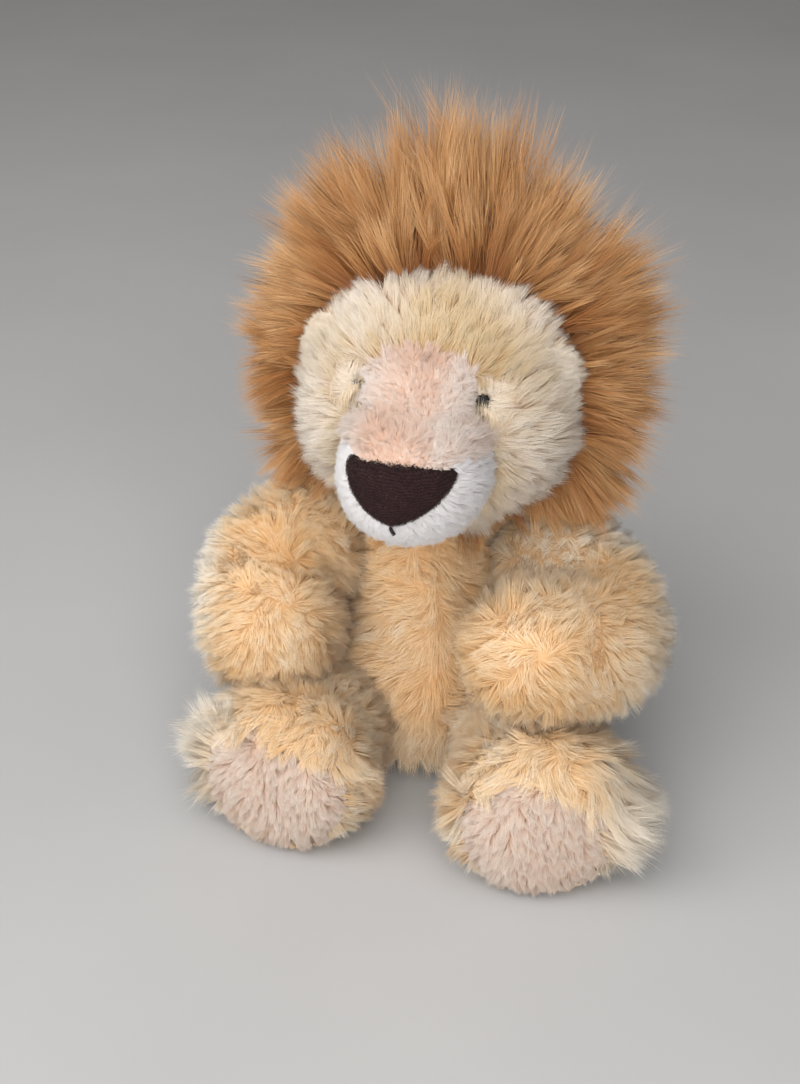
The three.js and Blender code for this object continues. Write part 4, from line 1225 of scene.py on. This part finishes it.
speckle = (np.sin(stitch) * 43758.5453) % 1.0
knit = (0.5 + 0.5 * np.cos(2 * np.pi * (row + lean * 1.1))) * (0.45 + 0.55 * np.sin(np.pi * ((col * 2) % 1.0)) ** 0.8)
rise = 0.1 + 2.1 * np.sqrt(np.clip(1 - (1 - np.clip(edge / 1.6, 0, 1)) ** 2, 0, 1))
puff = 0.5 * step(0, 9, edge)
above = rise + puff + (0.2 * (knit - 0.5) + 0.1 * (speckle - 0.5)) * step(0.1, 0.9, edge)
local = on_muzzle(flat[:, 0], flat[:, 1], above)
nose_surface = Surface(from_head(local), grid_quads(cols, rows, False), from_head(HEAD_INNER[None])[0], local=local, knit=knit)
nq = nose_surface.quads
nf = np.concatenate([nq[:, [0, 1, 2]], nq[:, [0, 2, 3]]])
# the knit's loops are coloured paler and the hollows between them darker: painted shade in the hollows
height = 0.12 + 0.76 * np.clip(0.15 + 0.75 * knit, 0, 1)
side_u = 0.1 + 0.6 * speckle**2 + 0.15 * np.clip(Waves(21, 7)(local) * 0.4, -0.6, 0.6)
nose_uv = np.stack([side_u, height], 1)
rng = np.random.default_rng(151)
fp, fn, fv = nose_surface.sample(7000, lambda c, v: np.ones(len(c)), rng)
fx, ft = strands(fp, fn, turn_from_head(np.tile([0.2, 0, -1.0], (len(fp), 1))) + tousle(fp * 3, 0.8), np.full(len(fp), 1.0), rng, lift=(50, 30),
                 per_tuft=6, clump=0.4, swirl=0.8, segs=2, tone=np.full(len(fp), 0.35), tone_strand=0.25)
fuzz = ribbon_mesh(fx, fn, np.full(len(fp), 0.12), ft, rng)
ob = make("nose", join((nose_surface.v, nf, nose_uv[nf], nose_surface.n), fuzz), NOSE)
put(ob, "head", ["nose_patch"])


# threads, as two twisted plies
def twisted(points, radius, pitch, plies=2, sides=7, per_mm=9):
    c, t, length = smooth_line(points, max(12, int(60)))
    count = max(16, int(length * per_mm))
    at = np.linspace(0, 1, count)
    c = np.stack([np.interp(at, np.linspace(0, 1, len(c)), c[:, k]) for k in range(3)], 1)
    t = unit(np.gradient(c, axis=0))
    ref = np.array([0.3, 0.9, 0.2])
    s1 = unit(np.cross(t, ref))
    s2 = np.cross(t, s1)
    v, f, base = [], [], 0
    ang = np.linspace(0, 2 * np.pi, sides, endpoint=False)
    fade = np.sqrt(np.clip(np.minimum(at, 1 - at) / 0.08, 0.02, 1))
    for k in range(plies):
        a = 2 * np.pi * (at * length / pitch + k / plies)
        centre = c + 0.48 * radius * (np.cos(a)[:, None] * s1 + np.sin(a)[:, None] * s2)
        ring = centre[:, None] + (0.62 * radius * fade)[:, None, None] * (np.cos(ang)[None, :, None] * s1[:, None] + np.sin(ang)[None, :, None] * s2[:, None])
        v.append(ring.reshape(-1, 3))
        q = grid_quads(count, sides, True)[:, ::-1] + base
        f += [q[:, [0, 1, 2]], q[:, [0, 2, 3]]]
        base += count * sides
    return np.concatenate(v), np.concatenate(f), None


v, f, _ = twisted(MOUTH, 0.62, 1.7)
ob = make("mouth_thread", (from_head(v), f, None, None), THREAD)
put(ob, "head", ["mouth_stitch"])

back_line = [(0, TORSO_AXIS_Y + TORSO_DEPTH * float(torso_radius(np.array([z]))[0]) + 1.3 + 0.35 * (-1) ** i, z) for i, z in enumerate(range(30, 63, 4))]
v, f, _ = twisted([(x + 0.7 * (-1) ** i, y, z) for i, (x, y, z) in enumerate(back_line)], 0.6, 2.0)
ob = make("closing_thread", (v, f, None, None), SEAM)
put(ob, "torso", ["closing_stitch"])


# eyes: a polished dome with a rolled rim on a ribbed shank
def lathe_on(at, out, profile, sides=40):
    ref = np.array([0, 0, 1.0])
    a = unit(np.cross(out, ref))
    b = np.cross(out, a)
    ang = np.linspace(0, 2 * np.pi, sides, endpoint=False)
    v = np.concatenate([at + out * h + r * (np.cos(ang)[:, None] * a + np.sin(ang)[:, None] * b) for h, r in profile])
    q = grid_quads(len(profile), sides, True)
    s = Surface(v, q, at + out * 2)
    return s.v, s.f, None


dome = [(-10, 0.05), (-10, 1.1), (-9.6, 1.3)] + [(-9.6 + 0.5 * i, 1.3 - 0.18 * (i % 2)) for i in range(1, 22)]
dome += [(1.45, 1.3), (1.5, EYE_RADIUS - 0.5), (1.6, EYE_RADIUS - 0.12), (1.85, EYE_RADIUS)]
dome += [(1.85 + 2.85 * math.sin(a), EYE_RADIUS * math.cos(a) ** 0.9) for a in np.linspace(0.08, np.pi / 2 - 0.02, 16)]
for side, label in ((1, "left"), (-1, "right")):
    at, out = EYES[side]
    v, f, _ = lathe_on(at - EYE_SUNK * out, out, dome)
    ob = make(f"{label}_eye_dome", (from_head(v), f, None, None), EYE)
    put(ob, "head", [f"{label}_eye"])

# ears: short lobes sewn in at the sides of the face
for side, label, seed in ((1, "left", 161), (-1, "right", 163)):
    look = np.array([math.sin(math.radians(EAR_TURN)) * side, -math.cos(math.radians(EAR_TURN)), 0])
    centre = EAR_AT * np.array([side, 1, 1])
    lobe = ellipsoid_surface(centre - np.array([1.6 * side, 0, 0]), EAR - np.array([1.8, 1.2, 1.6]), turn=EAR_TURN * side)
    lobe = Surface(from_head(lobe.v), lobe.quads, from_head(centre[None])[0], local=lobe.v)
    front = lambda c, v, l=look, e=centre: (v["local"] - e) @ l > 0
    clear = lambda c, v: ((v["local"] / (SKULL - 1)) ** 2).sum(1) > 1
    out_comb = lambda p, n, v, s=side: turn_from_head(unit(v["local"] - np.array([0, -50.0, 4.0])) + np.array([0.3 * s, 0.2, 0.05])) + tousle(p, 0.15, 0.15)
    rng = np.random.default_rng(seed)
    ob = strand_piece(
        f"{label}_ear_lobe", lobe, 8500, lambda c, v, fr=front: (fr(c, v) & clear(c, v)) * 1.0, out_comb, FACE, rng, length=5.2,
        tone=lambda p, n, v: 0.7 + 0.08 * paleness(p), per_tuft=40, clump=0.65, swirl=0.3, lift=(50, 18), felt=0.8, skin=lambda c, v, fr=front: fr(c, v),
    )
    put(ob, "head", [f"{label}_ear_front"])
    rng = np.random.default_rng(seed + 1)
    ob = strand_piece(
        f"{label}_ear_rear", lobe, 5000, lambda c, v, fr=front: (~fr(c, v) & clear(c, v)) * 1.0, out_comb, MANE_M, rng, length=6.0,
        tone=0.4, per_tuft=30, clump=0.6, swirl=0.3, lift=(50, 22), skin=lambda c, v, fr=front: ~fr(c, v),
    )
    put(ob, "head", [f"{label}_ear_back"])

# ------------------------------------------------------------------------------------ mane
part_a, part_b, part_c = Waves(31, 34), Waves(32, 34), Waves(33, 15)
MANE_REACH_CENTRE, MANE_REACH = np.array([0.5, 18.0, 7.0]), np.array([71.0, 45.0, 84.0])


def swung_line(arm, degrees):
    p = np.array(arm["line"], float)
    return p[0] + turn_about(p - p[0], np.tile([0, 0, 1.0], (len(p), 1)), np.full(len(p), math.radians(degrees)))


in_arms = [
    in_limb(swung_line(arm, a), limb_radius(arm["radii"]), 6.0, 16)
    for arm, a in ((LEFT_ARM, -10), (LEFT_ARM, 0), (LEFT_ARM, 45), (RIGHT_ARM, 0), (RIGHT_ARM, -45))
]


def clear_of_body(x):
    """Shortens hair that would run into the body, also with the head turned, or stand out too far."""
    x = within_room(x)
    left = np.flatnonzero(x[..., 2].min(1) < 112)
    for _ in range(9):
        if not len(left):
            break
        part = x[left]
        hit = np.zeros(len(left), bool)
        for a in (-20, 0, 20):
            c, s = math.cos(math.radians(a)), math.sin(math.radians(a))
            flat = (part[:, 1:].reshape(-1, 3) - NECK_AT) @ np.array([[c, s, 0], [-s, c, 0], [0, 0, 1]]) + NECK_AT
            bad = in_torso(flat, 8.5)
            for test in in_arms:
                low = np.flatnonzero(~bad & (flat[:, 2] < 98))
                bad[low] |= test(flat[low])
            hit |= bad.reshape(len(left), -1).any(1)
        left = left[hit]
        x[left] = x[left][:, :1] + 0.84 * (x[left] - x[left][:, :1])
    return x


rng = np.random.default_rng(171)
ob = strand_piece(
    "head_back", head, 13000, lambda c, v: is_back(v) * 1.0,
    lambda p, n, v: turn_from_head(unit(v["local"]) + np.array([0, 0.2, -0.7])) + tousle(p, 0.2), MANE_M, rng, width=0.34, length=11.0,
    tone=0.25, per_tuft=30, clump=0.7, swirl=0.3, lift=(60, 30), skin=lambda c, v: is_back(v), trim=clear_of_body,
)
put(ob, "head", ["head_back_panel"])


def mane_part(name, side, upper, count, seed):
    """Long hair of one quarter of the head: locks in layers, from the cloth towards the outline of the mane."""
    rng = np.random.default_rng(seed)

    def weight(c, v):
        x, y, z = v["local"].T
        ring = np.exp(-((y - 5) / 9.0) ** 2)
        here = (z > 2.0) if upper else (z <= 2.0)
        return (y > 1.0) * (x * side >= 0) * here * (0.45 + 2.4 * ring) * (1 + 0.5 * step(-5, -25, z))

    _, _, vals = head.sample(count, weight, rng)
    q = vals["local"]
    r = np.hypot(q[:, 0], q[:, 2])
    radial = np.stack([q[:, 0] / r, np.zeros(len(q)), q[:, 2] / r], 1)
    around = np.cross(np.array([0, 1.0, 0]), radial)
    back = step(3, 36, q[:, 1])
    low = step(-6, -28, q[:, 2])
    # wide locks, then narrow wisps inside them
    order = rng.permutation(count)
    wide, fine = order[: count // 230], order[: count // 24]
    own_w, own_f = nearest(q, q[wide]), nearest(q, q[fine])
    by_lock = lambda spread, shape=(): (spread * rng.normal(size=(len(wide),) + shape))[own_w]
    by_wisp = lambda spread, shape=(): (spread * rng.normal(size=(len(fine),) + shape))[own_f]
    lean = lerp(rng.uniform(-0.42, 0.3, len(wide))[own_w] + by_wisp(0.12) - (0.5 if side < 0 else 0.25) * low, 1.0 + 0 * r, back)
    d0 = unit(radial * (1 - 0.55 * back)[:, None] + np.array([0, 1.0, 0]) * lean[:, None] + (0.15 * part_a(q) + 0.1 * part_c(q))[:, None] * around
              + np.stack([0.5 * side * low, 0 * low, 0 * low], 1))
    sway = unit(d0 + by_lock(0.1, (3,)) + by_wisp(0.08, (3,)) + 0.03 * rng.normal(size=(count, 3)))
    o = (q - MANE_REACH_CENTRE) / MANE_REACH
    d = sway / MANE_REACH
    b, a = (d * o).sum(1), (d * d).sum(1)
    reach = (-b + np.sqrt(np.maximum(b * b - a * ((o * o).sum(1) - 1), 0))) / a
    share = rng.uniform(0.93, 1.06, len(wide))[own_w] * (1.05 - 0.38 * rng.random(len(fine)) ** 1.6)[own_f] * (1.04 - 0.24 * rng.random(count) ** 1.5)
    L = np.clip(reach * np.minimum(share, 1.1), 14 + 8 * low, 70)
    segs = 4
    ts = np.linspace(0, 1, segs + 1)
    drop = np.stack([0 * r, 0.05 + 0.1 * back - 0.1 * low, -0.05 - 0.4 * back - 0.3 * low], 1)
    bend = drop + by_lock(0.15, (3,)) + by_wisp(0.1, (3,)) + (0.22 * part_b(q))[:, None] * around
    hook = by_lock(0.07, (3,)) + by_wisp(0.07, (3,))
    curve = lambda i: (ts[None, :, None] * sway[i][:, None] + (ts**2)[None, :, None] / 2 * bend[i][:, None] + ((ts**3 - ts**2))[None, :, None] * hook[i][:, None])
    every, gi = np.arange(count), fine[own_f]
    x = q[:, None] + L[:, None, None] * curve(every)
    gx = q[gi][:, None] + L[:, None, None] * curve(gi)
    goal = gx + (q - q[gi])[:, None] * (1 - 0.6 * ts[None, :, None])
    pull = 0.66 * rng.uniform(0.35, 1.0, count)
    pull[rng.random(count) < 0.1] = 0
    x = x + (pull[:, None] * ts[None] ** 1.2)[..., None] * (goal - x)
    x = x + rng.normal(size=(count, 1, 3)) * (0.028 * L)[:, None, None] * (ts**2)[None, :, None]
    # darker on the lower and rear hair: painted shade of the mane's under-layers
    tone = 0.38 + 0.1 * part_c(q * 0.8) + by_lock(0.15) + by_wisp(0.13) + 0.08 * rng.normal(size=count) - 0.1 * low - 0.12 * back
    fore = np.tile([0, -1.0, 0.25], (count, 1)) + 0.5 * radial
    normal = unit(lerp(fore, unit(q), step(6, 20, q[:, 1])[:, None])) + by_lock(0.25, (3,)) + by_wisp(0.22, (3,))
    w = 0.2 * rng.uniform(0.7, 1.15, count)
    mesh = ribbon_mesh(clear_of_body(from_head(x)), turn_from_head(unit(normal)), w, np.clip(tone, 0.012, 0.988), rng, roll=1.0, root_w=0.85, soft=0.74)
    ob = make(name, mesh, MANE_M)
    put(ob, "head", ["mane_pile"])


def mane_throat(name, side, count, seed):
    rng = np.random.default_rng(seed)
    _, _, vals = head.sample(count, lambda c, v: (v["local"][:, 1] > 1.5) & (v["local"][:, 1] < 9) & (v["local"][:, 2] < -12) & (v["local"][:, 0] * side > 6), rng)
    q = vals["local"]
    out = step(-36, -14, q[:, 2])
    order = rng.permutation(count)
    wide, fine = order[: count // 200], order[: count // 22]
    own_w, own_f = nearest(q, q[wide]), nearest(q, q[fine])
    d0 = np.stack([side * lerp(0.3, 0.75, out), lerp(-0.8, -0.45, out), lerp(-0.6, -0.55, out)], 1)
    sway = unit(d0 + (0.16 * rng.normal(size=(len(wide), 3)))[own_w] + (0.1 * rng.normal(size=(len(fine), 3)))[own_f] + 0.04 * rng.normal(size=(count, 3)))
    L = rng.uniform(24, 32, len(fine))[own_f] * rng.uniform(0.8, 1.05, count)
    bend = np.array([0, 0.2, -0.5]) + (0.14 * rng.normal(size=(len(fine), 3)))[own_f]
    ts = np.linspace(0, 1, 5)
    x = q[:, None] + L[:, None, None] * (ts[None, :, None] * sway[:, None] + (ts**2)[None, :, None] / 2 * bend[:, None])
    gi = fine[own_f]
    goal = x[gi] + (q - q[gi])[:, None] * (1 - 0.6 * ts[None, :, None])
    x = x + (0.5 * rng.uniform(0.3, 1.0, count)[:, None] * ts[None] ** 1.2)[..., None] * (goal - x)
    tone = 0.36 + (0.14 * rng.normal(size=len(wide)))[own_w] + (0.12 * rng.normal(size=len(fine)))[own_f] + 0.08 * rng.normal(size=count)
    normal = unit(np.tile([0.2 * side, -1.0, 0.2], (count, 1)) + (0.2 * rng.normal(size=(len(fine), 3)))[own_f])
    mesh = ribbon_mesh(clear_of_body(from_head(x)), turn_from_head(normal), 0.2 * rng.uniform(0.7, 1.15, count), np.clip(tone, 0.012, 0.988), rng, roll=1.0, root_w=0.85, soft=0.74)
    ob = make(name, mesh, MANE_M)
    put(ob, "head", ["mane_pile"])


mane_throat("mane_throat_left", 1, 5000, 191)
mane_throat("mane_throat_right", -1, 6500, 192)
mane_part("mane_upper_left", 1, True, 26000, 181)
mane_part("mane_upper_right", -1, True, 26000, 182)
mane_part("mane_lower_left", 1, False, 25000, 183)
mane_part("mane_lower_right", -1, False, 25000, 184)

# ------------------------------------------------------------------------------------ inner pieces
for name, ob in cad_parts.items():
    if ob.hide_render:
        continue
    finish = FILLING
    if "washer" in name:
        finish = WASHER
    elif "pellet" in name:
        finish = PELLETS
    ob.data.materials.clear()
    ob.data.materials.append(finish)

# ------------------------------------------------------------------------------------ stage
floor_m = bpy.data.materials.new("floor")
floor_m.use_nodes = True
nt = floor_m.node_tree
p = nt.nodes["Principled BSDF"]
p.inputs["Roughness"].default_value = 0.7
p.inputs["Specular IOR Level"].default_value = 0.2
co = node(nt, "ShaderNodeTexCoord", -900, 0)
noise = node(nt, "ShaderNodeTexNoise", -700, 0)
noise.inputs["Scale"].default_value = 6.0
noise.inputs["Detail"].default_value = 3.0
nt.links.new(co.outputs["Object"], noise.inputs["Vector"])
rr = ramp(nt, [(0.3, rgb(178, 178, 179)), (0.7, rgb(183, 183, 184))], -460, 0)
nt.links.new(noise.outputs["Fac"], rr.inputs[0])
nt.links.new(rr.outputs[0], p.inputs["Base Color"])
s = 6.0
me = bpy.data.meshes.new("floor")
me.from_pydata([(-s, -s, 0), (s, -s, 0), (s, s, 0), (-s, s, 0)], [], [(0, 1, 2, 3)])
me.materials.append(floor_m)
floor = bpy.data.objects.new("floor", me)
bpy.context.scene.collection.objects.link(floor)

world = bpy.data.worlds.new("studio")
world.use_nodes = True
bg = world.node_tree.nodes["Background"]
bg.inputs["Color"].default_value = (0.685, 0.665, 0.655, 1)
bg.inputs["Strength"].default_value = 0.29
bpy.context.scene.world = world


def area(name, at, aim, size, watts, colour=(1, 1, 1)):
    d = bpy.data.lights.new(name, "AREA")
    d.shape, d.size, d.energy, d.color = "DISK", size, watts, colour
    o = bpy.data.objects.new(name, d)
    o.location = at
    o.rotation_mode = "QUATERNION"
    o.rotation_quaternion = (Vector(aim) - Vector(at)).to_track_quat("-Z", "Y")
    bpy.context.scene.collection.objects.link(o)


area("key", (-0.85, -0.65, 1.0), (0, -0.02, 0.09), 1.1, 10.0, (1.0, 0.98, 0.95))
area("front", (0.05, -0.95, 0.75), (0, 0, 0.1), 1.1, 8.6, (1.0, 0.985, 0.96))
area("low", (0.1, -1.15, 0.3), (0, 0, 0.08), 0.9, 5.4, (1.0, 0.985, 0.96))
area("top", (0.05, -0.4, 1.2), (0, -0.02, 0.1), 1.0, 4.2, (1.0, 0.985, 0.96))
area("back", (-0.3, 0.95, 1.0), (0, 0.02, 0.1), 1.0, 0.6)
